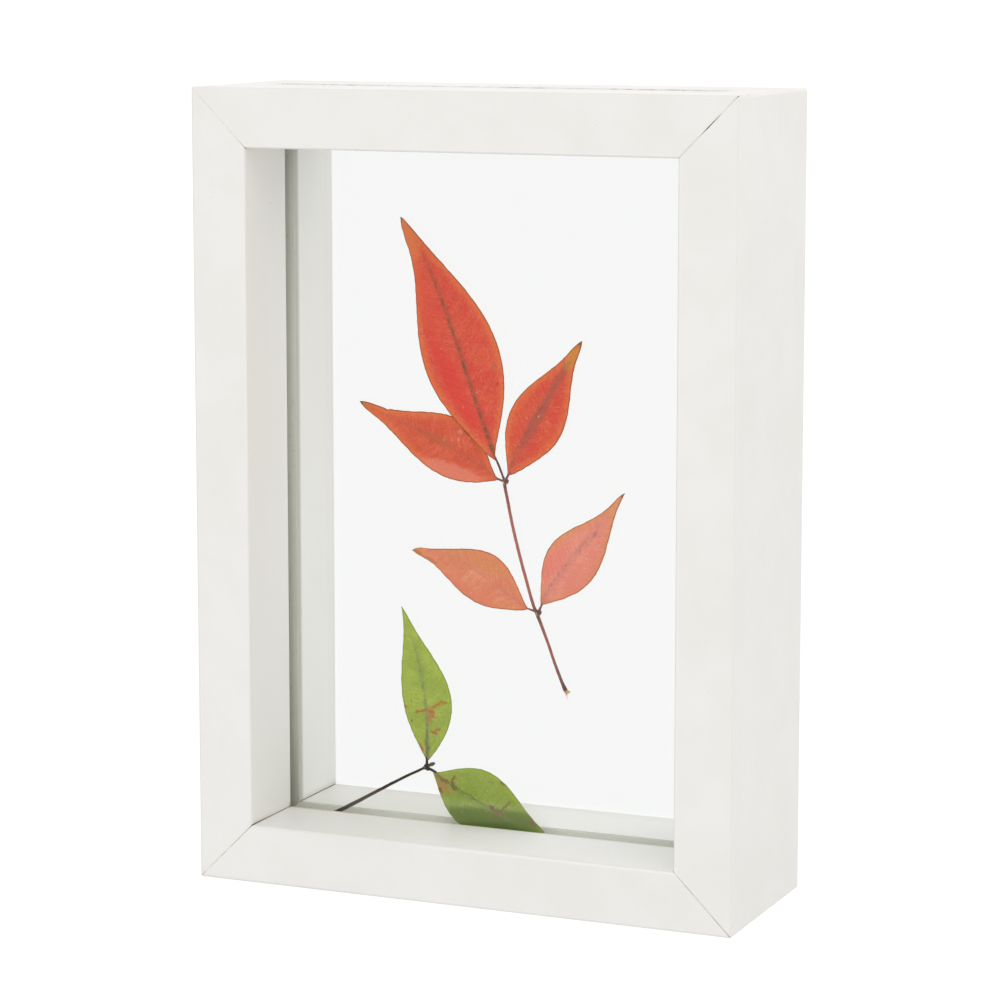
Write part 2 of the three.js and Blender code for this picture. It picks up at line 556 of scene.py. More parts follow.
@dataclass(frozen=True)
class SatinPaint(Finish):
    """Sprayed warm white paint on wood, stained along the mitres and worn in the slot and grooves, with
    painted light and shade on the inner faces, the front edges and the grooves.
    """

    frame: FrameSizes
    grain: Grain
    tone: Colour = srgb(230.5, 229, 225.5)
    shadow_tone: Colour = srgb(227, 225, 220.5)
    recess_light_tone: Colour = srgb(232, 230.5, 226)
    ledge_shade_tone: Colour = srgb(227, 226, 221)
    ledge_light_tone: Colour = srgb(238.5, 238, 235.5)
    behind_glass_light_tone: Colour = srgb(243, 242.5, 240)
    stain: Colour = srgb(176, 150, 112)
    groove_tone: Colour = srgb(240, 236, 224)
    groove_shade_tone: Colour = srgb(108, 106, 90)
    lip_shade: Colour = srgb(172, 170, 158)
    floor_groove_light_tone: Colour = srgb(247, 244, 234)
    groove_speck: Colour = srgb(120, 118, 102)
    lip_line: Colour = srgb(206, 168, 132)
    arris_shade_tone: Colour = srgb(219, 216, 211)
    raw_wood: Colour = srgb(134, 120, 96)
    shade_reach: float = 2.4
    ledge_fade: tuple[float, float] = (-30.0, 12.0)
    stain_fade: tuple[float, float] = (-8.0, -16.0)
    groove_shade_fade: tuple[float, float] = (125.0, 14.0)
    low_groove_shade_fade: tuple[float, float] = (45.0, 14.0)
    lip_line_fade: tuple[float, float] = (10.0, -30.0)
    nibs: tuple[Nib, ...] = (
        Nib((-49.5, -10.4, 149.5), 0.28, 0.5),
        Nib((21.9, 5.0, 13.0), 0.3, 0.55),
        Nib((-49.5, 11.3, 158.2), 0.25, 0.4),
        Nib((-57.8, -22.0, 151.3), 0.2, 0.25),
        Nib((31.5, -22.0, 168.4), 0.18, 0.22),
        Nib((57.0, -22.0, 52.0), 0.2, 0.2),
    )

    def shade(self, tree: Dressing) -> Value:
        """Builds the paint.

        Args:
            tree: The tree.

        Returns:
            The shader.
        """
        at = self._point(tree)
        mottle = tree.noise(at.place, 0.05, 3.0, 0.6)
        colour = tree.blend(tree.smooth(mottle, 0.3, 0.7), self.tone, self.shadow_tone)
        colour = self._recess(tree, at, colour)
        # Painted shade: the rounded front edges are painted darker to dim their highlight.
        colour = tree.blend(self._arris_shade(tree, at) * 0.8, colour, self.arris_shade_tone)
        stain = self._stain(tree, at) * (0.3 + 0.7 * tree.smooth(at.y, *self.stain_fade))
        colour = tree.blend(stain, colour, self.stain)
        groove = self._groove(tree, at)
        colour = self._grooved(tree, at, colour, groove)
        colour = tree.blend(self._front_lip(tree, at), colour, self.lip_line)
        chips = self._chips(tree, at)
        colour = tree.blend(chips, colour, self.raw_wood)
        colour = tree.blend(self._dirt(tree, at), colour, self.raw_wood)
        lines = tree.noise(tree.stretch(at.place, *self.grain.value), 1.0, 4.0, 0.65)
        peel = tree.noise(at.place, 1.6, 2.0, 0.5)
        height = lines * 0.6 + peel * 0.5
        rough = 0.36 + mottle * 0.14 + groove * 0.25 + chips * 0.3
        return tree.principled(
            Base_Color=colour, Roughness=rough, Normal=tree.bump(height, 0.05), Specular_IOR_Level=0.45
        )

    def _point(self, tree: Dressing) -> PaintPoint:
        """Finds the point of the wood that the shader looks at.

        Args:
            tree: The tree.

        Returns:
            The point, in millimetres.
        """
        place = tree.place()
        x, y, z = tree.split(place)
        from_side = self.frame.width / 2.0 - abs(x)
        from_end = tree.maths("MINIMUM", z, self.frame.height - z)
        return PaintPoint(place, x, y, z, tree.maths("MINIMUM", from_side, from_end))

    def _recess(self, tree: Dressing, at: PaintPoint, colour: Value) -> Value:
        """Paints light and shade onto the inner faces: lighter walls, lighter still behind the glass, a ledge
        darker at its left and lighter at its right, and a painted shade on the strip behind the groove.

        Args:
            tree: The tree.
            at: The point.
            colour: The colour so far.

        Returns:
            The colour with the painted light and shade of the inner faces.
        """
        rail = self.frame.rail
        lip = self.frame.groove_half
        inner = tree.smooth(at.depth_in, rail - 1.0, rail - 0.2)
        walls = inner * tree.smooth(at.z, rail + 0.4, rail + 1.5)
        # Painted light: the inner walls are painted a little lighter, and lighter still behind the glass.
        colour = tree.blend(walls, colour, self.recess_light_tone)
        colour = tree.blend(walls * tree.smooth(at.y, lip - 0.1, lip + 0.3), colour, self.behind_glass_light_tone)
        # Painted light and shade: the ledge is painted darker at its left corner and lighter towards the
        # right.
        ledge = tree.blend(tree.smooth(at.x, *self.ledge_fade), self.ledge_shade_tone, self.ledge_light_tone)
        colour = tree.blend(inner * tree.smooth(at.z, rail + 1.5, rail + 0.4), colour, ledge)
        # Painted shade: a darker band on the inner faces just behind the groove's back lip.
        behind = at.y - lip
        shade = tree.smooth(behind, self.shade_reach, self.shade_reach * 0.35)
        shade = shade * tree.smooth(behind, -0.1, 0.05)
        return tree.blend(shade * inner * 0.75, colour, self.lip_shade)

    def _arris_shade(self, tree: Dressing, at: PaintPoint) -> Value:
        """Finds where the front face rounds off into its neighbours, which get a painted shade that dims
        their highlight.

        Args:
            tree: The tree.
            at: The point.

        Returns:
            How much painted shade the rounded edge gets, 0 to 1.
        """
        face = self.frame.depth / 2.0
        front = tree.smooth(at.y, 0.6 - face, 0.12 - face)
        outer = tree.smooth(at.depth_in, 0.6, 0.12)
        inner = tree.smooth(at.depth_in, self.frame.rail - 0.6, self.frame.rail - 0.12)
        return front * tree.maths("MAXIMUM", outer, inner)

    def _stain(self, tree: Dressing, at: PaintPoint) -> Value:
        """Finds the tan line that has crept into the paint along each mitre.

        Args:
            tree: The tree.
            at: The point.

        Returns:
            The share of stain, 0 to 1.
        """
        across = self.frame.width / 2.0 - abs(at.x)
        up = tree.maths("MINIMUM", at.z, self.frame.height - at.z)
        off = abs(across - up) * math.sqrt(0.5)
        wander = tree.noise(at.place, 0.8, 3.0, 0.6)
        line = tree.smooth(off - wander * 0.12, 0.09, 0.02)
        right = at.x > 0.0
        top = at.z > self.frame.height / 2.0
        strength = 0.0
        for corner, joint in MITRES.items():
            at_right = right if corner.value[0] > 0 else 1.0 - right
            at_top = top if corner.value[1] > 0 else 1.0 - top
            strength = at_right * at_top * joint.stain + strength
        return line * strength * tree.smooth(tree.noise(at.place, 0.35, 2.0, 0.5), 0.3, 0.6)

    def _groove(self, tree: Dressing, at: PaintPoint) -> Value:
        """Where the thin grey coat inside the grooves and the slot lies, 0 to 1."""
        inside = tree.smooth(abs(at.y), self.frame.groove_half + 0.12, self.frame.groove_half + 0.02)
        return inside * tree.smooth(at.depth_in, 0.6, 2.5)

    def _grooved(self, tree: Dressing, at: PaintPoint, colour: Value, groove: Value) -> Value:
        """Lays the groove's thin coat, a painted shade that darkens deeper in the groove and towards the
        bottom, and its specks over the paint. The bottom rail's groove gets a lighter coat as painted light.

        Args:
            tree: The tree.
            at: The point.
            colour: The colour so far.
            groove: Where the groove lies, 0 to 1.

        Returns:
            The colour with the groove in it.
        """
        rail = self.frame.rail
        # Painted light: the bottom rail's groove is painted lighter than the others.
        low = tree.smooth(at.z, rail + 1.0, rail - 0.5) if self.grain is Grain.ACROSS else 0.0
        coat = tree.blend(low, self.groove_tone, self.floor_groove_light_tone)
        colour = tree.blend(groove * 0.75, colour, coat)
        # Painted shade: darker deeper in the groove and towards the bottom of the frame, and none in the
        # bottom rail's groove.
        painted_groove_shade = tree.smooth(at.depth_in, rail - 0.1, rail - 2.6) * 0.3
        painted_groove_shade = painted_groove_shade + tree.smooth(at.z, *self.groove_shade_fade) * 0.2
        painted_groove_shade = painted_groove_shade + tree.smooth(at.z, *self.low_groove_shade_fade) * 0.12
        colour = tree.blend(painted_groove_shade * groove * (1.0 - low), colour, self.groove_shade_tone)
        specks = tree.smooth(tree.noise(at.place, 1.1, 3.0, 0.7), 0.6, 0.7)
        return tree.blend(specks * groove * 0.3, colour, self.groove_speck)

    def _front_lip(self, tree: Dressing, at: PaintPoint) -> Value:
        """Finds the rubbed line on the front lip of the bottom groove.

        Args:
            tree: The tree.
            at: The point.

        Returns:
            The share of the line's colour, 0 to 1.
        """
        rail = self.frame.rail
        lip = tree.smooth(abs(at.y + self.frame.groove_half + 0.55), 0.55, 0.35)
        lip = lip * tree.smooth(at.depth_in, rail - 1.0, rail - 0.4)
        lip = lip * (0.2 + 0.35 * tree.smooth(at.x, *self.lip_line_fade))
        return lip * tree.smooth(at.z, rail + 1.5, rail + 0.2)

    def _chips(self, tree: Dressing, at: PaintPoint) -> Value:
        """Finds where the paint has chipped off the lips of the slot.

        Args:
            tree: The tree.
            at: The point.

        Returns:
            How bare the wood is, 0 to 1.
        """
        below_top = self.frame.height - at.z
        half_width = self.frame.slot_half_width
        near = tree.smooth(abs(at.y), half_width + 1.0, half_width + 0.7)
        lip = tree.smooth(below_top, 0.03, 0.12) * tree.smooth(below_top, 3.2, 1.0)
        patches = tree.noise(tree.stretch(at.place, 0.16, 0.5, 0.5), 1.0, 5.0, 0.7)
        half_length = self.frame.slot_half_length
        ends = tree.smooth(abs(at.x), half_length + 0.8, half_length + 0.3)
        return near * ends * lip * tree.smooth(patches, 0.46, 0.62) * 0.55

    def _dirt(self, tree: Dressing, at: PaintPoint) -> Value:
        """Finds the nibs in the paint.

        Args:
            tree: The tree.
            at: The point.

        Returns:
            How dark they make the paint, 0 to 1.
        """
        dirt = 0.0
        for nib in self.nibs:
            mark = tree.smooth(tree.distance(at.place, nib.at), nib.radius, nib.radius * 0.35)
            dirt = mark * nib.strength + dirt
        return dirt


@dataclass(frozen=True)
class BareWood(Finish):
    """Sawn wood on the mitred ends, reddish brown with fine rings."""

    light: Colour = srgb(178, 132, 96)
    dark: Colour = srgb(112, 72, 50)

    def shade(self, tree: Dressing) -> Value:
        """Builds the wood.

        Args:
            tree: The tree.

        Returns:
            The shader.
        """
        place = tree.place()
        warp = tree.noise(place, 0.2, 3.0, 0.6)
        x, y, _z = tree.split(place)
        rings = tree.maths("SINE", (x * 0.7 + y * 0.5 + warp * 9.0) * 3.0) * 0.5 + 0.5
        pores = tree.noise(place, 4.0, 2.0, 0.6)
        colour = tree.blend(rings * 0.6 + pores * 0.4, self.light, self.dark)
        height = rings + pores
        return tree.principled(
            Base_Color=colour, Roughness=0.7 + pores * 0.2, Normal=tree.bump(height, 0.05)
        )


@dataclass(frozen=True)
class ClearGlass(Finish):
    """Clear float glass with a breath of dust, which lets the lamps through."""

    tint: Colour = (0.99, 0.995, 0.99, 1.0)
    dust: Colour = (0.75, 0.73, 0.7, 1.0)
    ior: float = 1.5

    def shade(self, tree: Dressing) -> Value:
        """Builds the glass.

        Args:
            tree: The tree.

        Returns:
            The shader.
        """
        place = tree.place()
        glass = tree.principled(Base_Color=self.tint, Roughness=0.0, IOR=self.ior, Transmission_Weight=1.0)
        film = tree.principled(Base_Color=self.dust, Roughness=0.9, IOR=self.ior)
        cells = tree.add("ShaderNodeTexVoronoi", {"feature": "F1"}, {"Vector": place, "Scale": 0.05})
        grains = tree.smooth(cells, 0.008, 0.004)
        smear = tree.smooth(tree.noise(place, 0.03, 4.0, 0.6), 0.5, 0.9)
        dusty = tree.add("ShaderNodeMixShader", None, {0: grains * 0.5 + smear * 0.006, 1: glass, 2: film})
        passing = tree.add("ShaderNodeBsdfTransparent", None, {"Color": self.tint})
        path = tree.add("ShaderNodeLightPath")
        lamp_lit = tree.add("ShaderNodeMixShader", None, {0: path.out("Is Shadow Ray"), 1: dusty, 2: passing})
        return tree.add("ShaderNodeMixShader", None, {0: path.out("Is Diffuse Ray"), 1: lamp_lit, 2: passing})


@dataclass(frozen=True)
class GroundEdge(Finish):
    """The ground edge of the glass, greenish grey and matt."""

    tone: Colour = (0.42, 0.55, 0.48, 1.0)

    def shade(self, tree: Dressing) -> Value:
        """Builds the ground edge.

        Args:
            tree: The tree.

        Returns:
            The shader.
        """
        scratches = tree.noise(tree.stretch(tree.place(), 2.0, 0.4, 2.0), 1.0, 4.0, 0.7)
        rough = 0.3 + scratches * 0.3
        return tree.principled(
            Base_Color=self.tone, Roughness=rough, IOR=1.5, Transmission_Weight=0.85,
            Normal=tree.bump(scratches, 0.04),
        )


@dataclass(frozen=True)
class Spot:
    """A soft patch of colour on a leaflet, in millimetres along and left of its base line."""

    along: float
    left: float
    length: float
    width: float
    colour: Colour
    strength: float
    turn: float = 0.0

    def paint(self, tree: Dressing, local: Value, colour: Value) -> Value:
        """Lays the patch over a colour.

        Args:
            tree: The tree.
            local: The point on the leaflet: along, left.
            colour: The colour so far.

        Returns:
            The colour with the patch on it.
        """
        sockets = {
            "Vector": local, "Location": (self.along, self.left, 0.0),
            "Rotation": (0.0, 0.0, math.radians(self.turn)), "Scale": (self.length, self.width, 1.0),
        }
        turned = tree.add("ShaderNodeMapping", {"vector_type": "TEXTURE"}, sockets)
        reach = tree.add("ShaderNodeVectorMath", {"operation": "LENGTH"}, {0: turned}).out("Value")
        return tree.blend(tree.smooth(reach, 1.15, 0.55) * self.strength, colour, self.colour)


@dataclass(frozen=True)
class LeafBlade(Finish):
    """The skin of a dried leaflet: mottled body, coloured margins and tip, veins, specks and blotches."""

    body: Colour
    rich: Colour
    margin: Colour
    margin_width: float
    tip: Colour
    tip_from: float
    base: Colour
    base_to: float
    streak: Colour
    streak_strength: float
    midrib: Colour
    midrib_half: float
    halo: Colour
    halo_half: float
    halo_strength: float
    rim: Colour
    rim_strength: float
    fleck: Colour
    dark: Colour
    glow: Colour
    grit: float = 0.42
    rib_strength: float = 0.85
    raggedness: float = 1.6
    spots: tuple[Spot, ...] = ()

    def shade(self, tree: Dressing) -> Value:
        """Builds the leaflet's skin.

        Args:
            tree: The tree.

        Returns:
            The shader.
        """
        along, off, rim = tree.split(tree.attribute("blade"))
        local = tree.attribute("place")
        flow, vein, _spare = tree.split(tree.attribute("veins"))
        wobble = tree.noise(local, 0.55, 4.0, 0.65)
        shaken = self._shaken(tree, local)
        colour = tree.blend(tree.smooth(tree.noise(local, 0.16, 3.0, 0.6), 0.36, 0.64), self.body, self.rich)
        edge = tree.smooth(rim + (wobble - 0.5) * 2.2, self.margin_width, 0.1)
        colour = tree.blend(edge * 0.9, colour, self.margin)
        colour = tree.blend(tree.smooth(along + (wobble - 0.5) * 0.12, self.tip_from, 0.99), colour, self.tip)
        colour = tree.blend(tree.smooth(along, self.base_to, 0.0) * 0.8, colour, self.base)
        threads = tree.noise(tree.vector(flow * 2.4, off * 0.2, 0.0), 1.0, 3.0, 0.65)
        streaks = tree.smooth(threads, 0.5, 0.66)
        colour = tree.blend(streaks * self.streak_strength, colour, self.streak)
        net = self._net(tree, shaken)
        colour = tree.blend(net * 0.3, colour, self.streak)
        grit = tree.noise(local, 1.9, 4.0, 0.8)
        colour = tree.blend(tree.smooth(grit, 0.52, 0.64) * self.grit, colour, self.streak)
        colour = tree.blend(tree.smooth(grit, 0.48, 0.36) * self.grit, colour, self.dark)
        for spot in self.spots:
            colour = spot.paint(tree, shaken, colour)
        colour = self._lines(tree, colour, along, off, rim, vein, local)
        skin = tree.noise(local, 3.0, 3.0, 0.6)
        height = skin * 0.5 + net * 0.5 + threads * 0.8
        shell = tree.principled(
            Base_Color=colour, Roughness=0.5 + skin * 0.25, Normal=tree.bump(height, 0.07),
            Specular_IOR_Level=0.18,
        )
        through = tree.add("ShaderNodeBsdfTranslucent", None, {"Color": self.glow})
        return tree.add("ShaderNodeMixShader", None, {0: 0.12, 1: shell, 2: through})

    def _shaken(self, tree: Dressing, local: Value) -> Value:
        """Moves the point on the leaflet about a little, so that blotches get ragged outlines.

        Args:
            tree: The tree.
            local: The point on the leaflet.

        Returns:
            The moved point.
        """
        jitter = tree.centred(tree.noise(local, 1.1, 3.0, 0.6).out("Color"))
        pushed = tree.stretch(jitter, self.raggedness, self.raggedness, 0.0)
        return tree.add("ShaderNodeVectorMath", {"operation": "ADD"}, {0: local, 1: pushed})

    def _net(self, tree: Dressing, shaken: Value) -> Value:
        """Finds the finest veins, as a net of pale threads.

        Args:
            tree: The tree.
            shaken: The point on the leaflet, moved about a little.

        Returns:
            1 on a thread and 0 off it.
        """
        settings = {"feature": "DISTANCE_TO_EDGE"}
        cells = tree.add("ShaderNodeTexVoronoi", settings, {"Vector": shaken, "Scale": 1.25})
        return tree.smooth(cells, 0.09, 0.02)

    def _lines(
        self, tree: Dressing, colour: Value, along: Value, off: Value, rim: Value, vein: Value, local: Value
    ) -> Value:
        """Lays the midrib, its halo, the flecks and the dark rim over a colour.

        Args:
            tree: The tree.
            colour: The colour so far.
            along: 0 at the base to 1 at the tip.
            off: Millimetres left of the midrib.
            rim: Millimetres from the margin.
            vein: 1 on the midrib's tube, 0.5 on a side vein's, 0 on the blade.
            local: The point on the leaflet.

        Returns:
            The colour with its lines.
        """
        beads = tree.noise(tree.stretch(local, 1.5, 0.9, 0.0), 1.0, 3.0, 0.7)
        blots = tree.noise(tree.stretch(local, 0.5, 0.3, 0.0), 1.0, 3.0, 0.7)
        halo = tree.smooth(abs(off + 0.25) + (beads - 0.5) * 1.5, self.halo_half, 0.0)
        fading = tree.smooth(along, 0.95, 0.55)
        colour = tree.blend(halo * self.halo_strength * fading, colour, self.halo)
        half = self.midrib_half * (1.5 - along * 0.9) * (0.4 + blots * 1.2)
        rib = tree.smooth(abs(off + (blots - 0.5) * 0.6) + (beads - 0.5) * 0.8, half, half * 0.2)
        rib = tree.maths("MAXIMUM", rib, (vein > 0.75) * 0.3) * tree.smooth(blots + beads, 0.9, 1.14)
        colour = tree.blend(rib * fading * self.rib_strength, colour, self.midrib)
        cells = tree.add("ShaderNodeTexVoronoi", {"feature": "F1"}, {"Vector": local, "Scale": 0.42})
        flecks = tree.smooth(cells, 0.11, 0.05)
        colour = tree.blend(flecks * 0.45, colour, self.fleck)
        edge_line = tree.smooth(rim + (beads - 0.5) * 0.16, 0.36, 0.12)
        return tree.blend(edge_line * self.rim_strength, colour, self.rim)


@dataclass(frozen=True)
class DriedStem(Finish):
    """A shrivelled stem, dark at its nodes and cut end, with pale scuffs along it and a tan painted highlight
    on the side that faces down.
    """

    pale: Colour
    dark: Colour
    scuff: Colour
    underside_highlight: Colour

    def shade(self, tree: Dressing) -> Value:
        """Builds the stem's bark.

        Args:
            tree: The tree.

        Returns:
            The shader.
        """
        place = tree.place()
        tone = tree.attribute("tone").out("Fac")
        mottle = tree.noise(tree.stretch(place, 1.0, 1.0, 0.5), 1.4, 4.0, 0.7)
        colour = tree.blend(tree.smooth(tone + (mottle - 0.5) * 0.9, 0.1, 0.9), self.dark, self.pale)
        # Painted highlight: the side of the stem that faces down is painted a lighter tan.
        under = tree.smooth(tree.attribute("under").out("Fac"), -0.35, -0.75)
        colour = tree.blend(under * 0.75, colour, self.underside_highlight)
        scuffs = tree.smooth(tree.noise(place, 1.9, 2.0, 0.6), 0.58, 0.72)
        colour = tree.blend(scuffs * 0.25 + tree.smooth(tone, 1.4, 2.0), colour, self.scuff)
        return tree.principled(
            Base_Color=colour, Roughness=0.55 + mottle * 0.2, Normal=tree.bump(mottle, 0.08),
            Specular_IOR_Level=0.3,
        )


@dataclass(frozen=True)
class PaleFloor(Finish):
    """A plain white table, lit from below so that it stays white. Gloss on the object sees it dimmer."""

    glow: float = 1.0
    gloss_glow: float = 0.18
    albedo: float = 0.06

    def shade(self, tree: Dressing) -> Value:
        """Builds the floor.

        Args:
            tree: The tree.

        Returns:
            The shader.
        """
        glossy = tree.add("ShaderNodeLightPath").out("Glossy Depth") > 0.5
        bright = tree.add("ShaderNodeEmission", None, {"Strength": self.glow})
        dim = tree.add("ShaderNodeEmission", None, {"Strength": self.gloss_glow})
        lit = tree.add("ShaderNodeMixShader", None, {0: glossy, 1: bright, 2: dim})
        grey = (self.albedo, self.albedo, self.albedo, 1.0)
        matt = tree.add("ShaderNodeBsdfDiffuse", None, {"Color": grey})
        return tree.add("ShaderNodeAddShader", None, {0: lit, 1: matt})


# ---- wooden frame


@dataclass
class Rail:
    """One mitred rail: a swept section with rounded edges, cut at 45 degrees at both ends."""

    side: Side
    frame: FrameSizes
    outer_radius: float = 0.55
    inner_radius: float = 0.45
    lip_radius: float = 0.25
    arris: float = 0.08
    arris_reach: float = 0.3
    column_pitch: float = 6.0
    station_pitch: float = 0.75
    edge_margin: float = 0.15
    end_cuts: tuple[float, ...] = (0.0, 0.06, 0.14, 0.23, 0.33, 0.45, 0.55, 0.85, 1.5, 3.0)
    end_reach: float = 4.0

    @property
    def half_length(self) -> float:
        """Half the rail's length along its outer face."""
        upright = self.side in (Side.LEFT, Side.RIGHT)
        return (self.frame.height if upright else self.frame.width) / 2.0

    def build(self, paint: bpy.types.Material, wood: bpy.types.Material) -> bpy.types.Object:
        """Builds the rail.

        Args:
            paint: The paint on all its faces.
            wood: The bare wood on its mitred ends.

        Returns:
            The rail, in place.
        """
        work = bmesh.new()
        rings = [self._ring(column) for column in self._columns()]
        made = [[work.verts.new(self._placed(*point) * MM) for point in ring] for ring in rings]
        count = len(made[0])
        for first, second in zip(made, made[1:]):
            for here in range(count):
                after = (here + 1) % count
                work.faces.new((first[here], first[after], second[after], second[here])).smooth = True
        section = self._section()
        for ring in (made[0], made[-1]):
            self._cap(work, ring, section)
        bmesh.ops.recalc_face_normals(work, faces=work.faces)
        return modelled(self.side.value + "_painted", work, paint, wood)

    def _cap(self, work: bmesh.types.BMesh, ring: list, section: list[tuple[float, float]]) -> None:
        """Closes one mitred end, as a flange on each side of the groove and a web behind it.

        Args:
            work: The rail so far.
            ring: The end's vertices.
            section: The sharp section's points, in the same order.
        """
        end = work.faces.new(ring)
        end.material_index = 1
        parts = [end]
        for side in (-1.0, 1.0):
            lip = side * self.frame.groove_half
            floor = self.frame.rail - self.frame.groove_depth
            inner = min(range(len(ring)), key=lambda n: math.dist(section[n], (lip, floor)))
            outer = min(range(len(ring)), key=lambda n: math.dist(section[n], (lip, 0.0)))
            whole = next(part for part in parts if {ring[inner], ring[outer]} <= set(part.verts))
            piece, _edge = bmesh.utils.face_split(whole, ring[inner], ring[outer])
            parts.append(piece)
        bmesh.ops.triangulate(work, faces=parts)

    def _section(self) -> list[tuple[float, float]]:
        """Walks once round the section.

        Returns:
            Its points as (y, inward), with inward 0 on the outer face.
        """
        front = -self.frame.depth / 2.0
        back = -front
        inner = self.frame.rail
        floor = inner - self.frame.groove_depth
        lip = self.frame.groove_half
        corners = [
            (front, 0.0, self.outer_radius),
            (front, inner, self.inner_radius),
            (-lip, inner, self.lip_radius),
            (-lip, floor, 0.0),
            (lip, floor, 0.0),
            (lip, inner, self.lip_radius),
            (back, inner, self.inner_radius),
            (back, 0.0, self.outer_radius),
        ]
        section = []
        for number, (y, inward, radius) in enumerate(corners):
            next_y, next_inward, next_radius = corners[(number + 1) % len(corners)]
            length = abs(next_y - y) + abs(next_inward - inward)
            for reach in self._stations(length, radius, next_radius):
                share = reach / length
                section.append((y + (next_y - y) * share, inward + (next_inward - inward) * share))
        return section

    def _stations(self, length: float, start_radius: float, end_radius: float) -> list[float]:
        """Spaces points along one face, close together where it rounds into the next.

        Args:
            length: The face's length.
            start_radius: The rounding at its start.
            end_radius: The rounding at its end.

        Returns:
            Distances from the start, with the start and without the end.
        """
        start = [start_radius * (1.0 - math.tan(math.radians(angle))) for angle in (45, 30, 15, 0)]
        end = [length - end_radius * (1.0 - math.tan(math.radians(angle))) for angle in (0, 15, 30)]
        if start_radius == 0.0:
            start = [0.0]
        if end_radius == 0.0:
            end = []
        low = start_radius + self.edge_margin
        high = length - end_radius - self.edge_margin
        steps = max(1, round((high - low) / self.station_pitch))
        middle = [low + (high - low) * step / steps for step in range(steps + 1)]
        return start + middle + end

    def _columns(self) -> list[tuple[int, float]]:
        """Lists the cuts across the rail.

        Returns:
            Each cut as (end, distance): the distance from the end at -1 or 1, or 0 and the cut's place.
        """
        core = self.half_length - self.frame.rail - self.end_reach
        steps = round(2.0 * core / self.column_pitch)
        middle = [(0, -core + 2.0 * core * step / steps) for step in range(steps + 1)]
        low = [(-1, distance) for distance in self.end_cuts]
        high = [(1, distance) for distance in reversed(self.end_cuts)]
        return low + middle + high

    def _ring(self, column: tuple[int, float]) -> list[tuple[float, float, float]]:
        """Places the section's points on one cut across the rail.

        Args:
            column: The cut, as (end, distance).

        Returns:
            The points as (along, y, inward).
        """
        end, distance = column
        ring = []
        for y, inward in self._section():
            limit = self._end_at(end or 1, inward, y + self.frame.depth / 2.0)
            along = end * (limit - distance) if end else distance
            gap = distance if end else limit
            ring.append(self._rounded(along, y, inward, gap))
        return ring

    def _end_at(self, end: int, inward: float, back: float) -> float:
        """How far from the rail's middle its mitred end lies.

        Args:
            end: -1 or 1, for the end on that side.
            inward: Millimetres in from the outer face.
            back: Millimetres behind the front face.

        Returns:
            The distance from the rail's middle.
        """
        corner = RAIL_ENDS[self.side][0 if end < 0 else 1]
        gap = MITRES[corner].opening(inward / self.frame.rail, back)
        return self.half_length - inward - gap * math.sqrt(0.5)

    def _rounded(self, along: float, y: float, inward: float, gap: float) -> tuple[float, float, float]:
        """Rounds a point of the sharp rail over its edges.

        Args:
            along: Millimetres from the rail's middle.
            y: Its place from front to back.
            inward: Millimetres in from the outer face.
            gap: Millimetres to the mitred end.

        Returns:
            The rounded point, as (along, y, inward).
        """
        half_depth = self.frame.depth / 2.0
        dip = self.arris * max(0.0, 1.0 - gap / self.arris_reach) ** 2
        if inward <= 0.0:
            inward += dip
        elif inward >= self.frame.rail:
            inward -= dip
        if abs(y) >= half_depth:
            y = math.copysign(half_depth - dip, y)
        side, out, face = self._pushed(
            [self.half_length - abs(along), inward, half_depth - abs(y)], self.outer_radius
        )
        along = math.copysign(self.half_length - side, along)
        in_left, face = self._pushed([self.frame.rail - out, face], self.inner_radius)
        y = math.copysign(half_depth - face, y)
        if abs(y) >= self.frame.groove_half:
            in_left, wall = self._pushed([in_left, abs(y) - self.frame.groove_half], self.lip_radius)
            y = math.copysign(self.frame.groove_half + wall, y)
        return along, y, self.frame.rail - in_left

    @staticmethod
    def _pushed(depths: list[float], radius: float) -> list[float]:
        """Pushes a point near an edge onto the rounding of that edge.

        Args:
            depths: How deep the point lies under each face that meets there.
            radius: The rounding.

        Returns:
            The new depths.
        """
        pulls = [max(0.0, radius - depth) for depth in depths]
        size = math.sqrt(sum(pull * pull for pull in pulls))
        if size <= radius:
            return depths
        return [radius - pull * radius / size if pull > 0.0 else depth for depth, pull in zip(depths, pulls)]

    def _placed(self, along: float, y: float, inward: float) -> Vector:
        """Turns a point of the rail into one of the frame.

        Args:
            along: Millimetres from the rail's middle.
            y: Its place from front to back.
            inward: Millimetres in from the outer face.

        Returns:
            The point's X, Y and Z.
        """
        width = self.frame.width
        height = self.frame.height
        if self.side is Side.BOTTOM:
            return Vector((along, y, inward))
        if self.side is Side.TOP:
            return Vector((-along, y, height - inward))
        if self.side is Side.LEFT:
            return Vector((inward - width / 2.0, y, height / 2.0 - along))
        return Vector((width / 2.0 - inward, y, height / 2.0 + along))


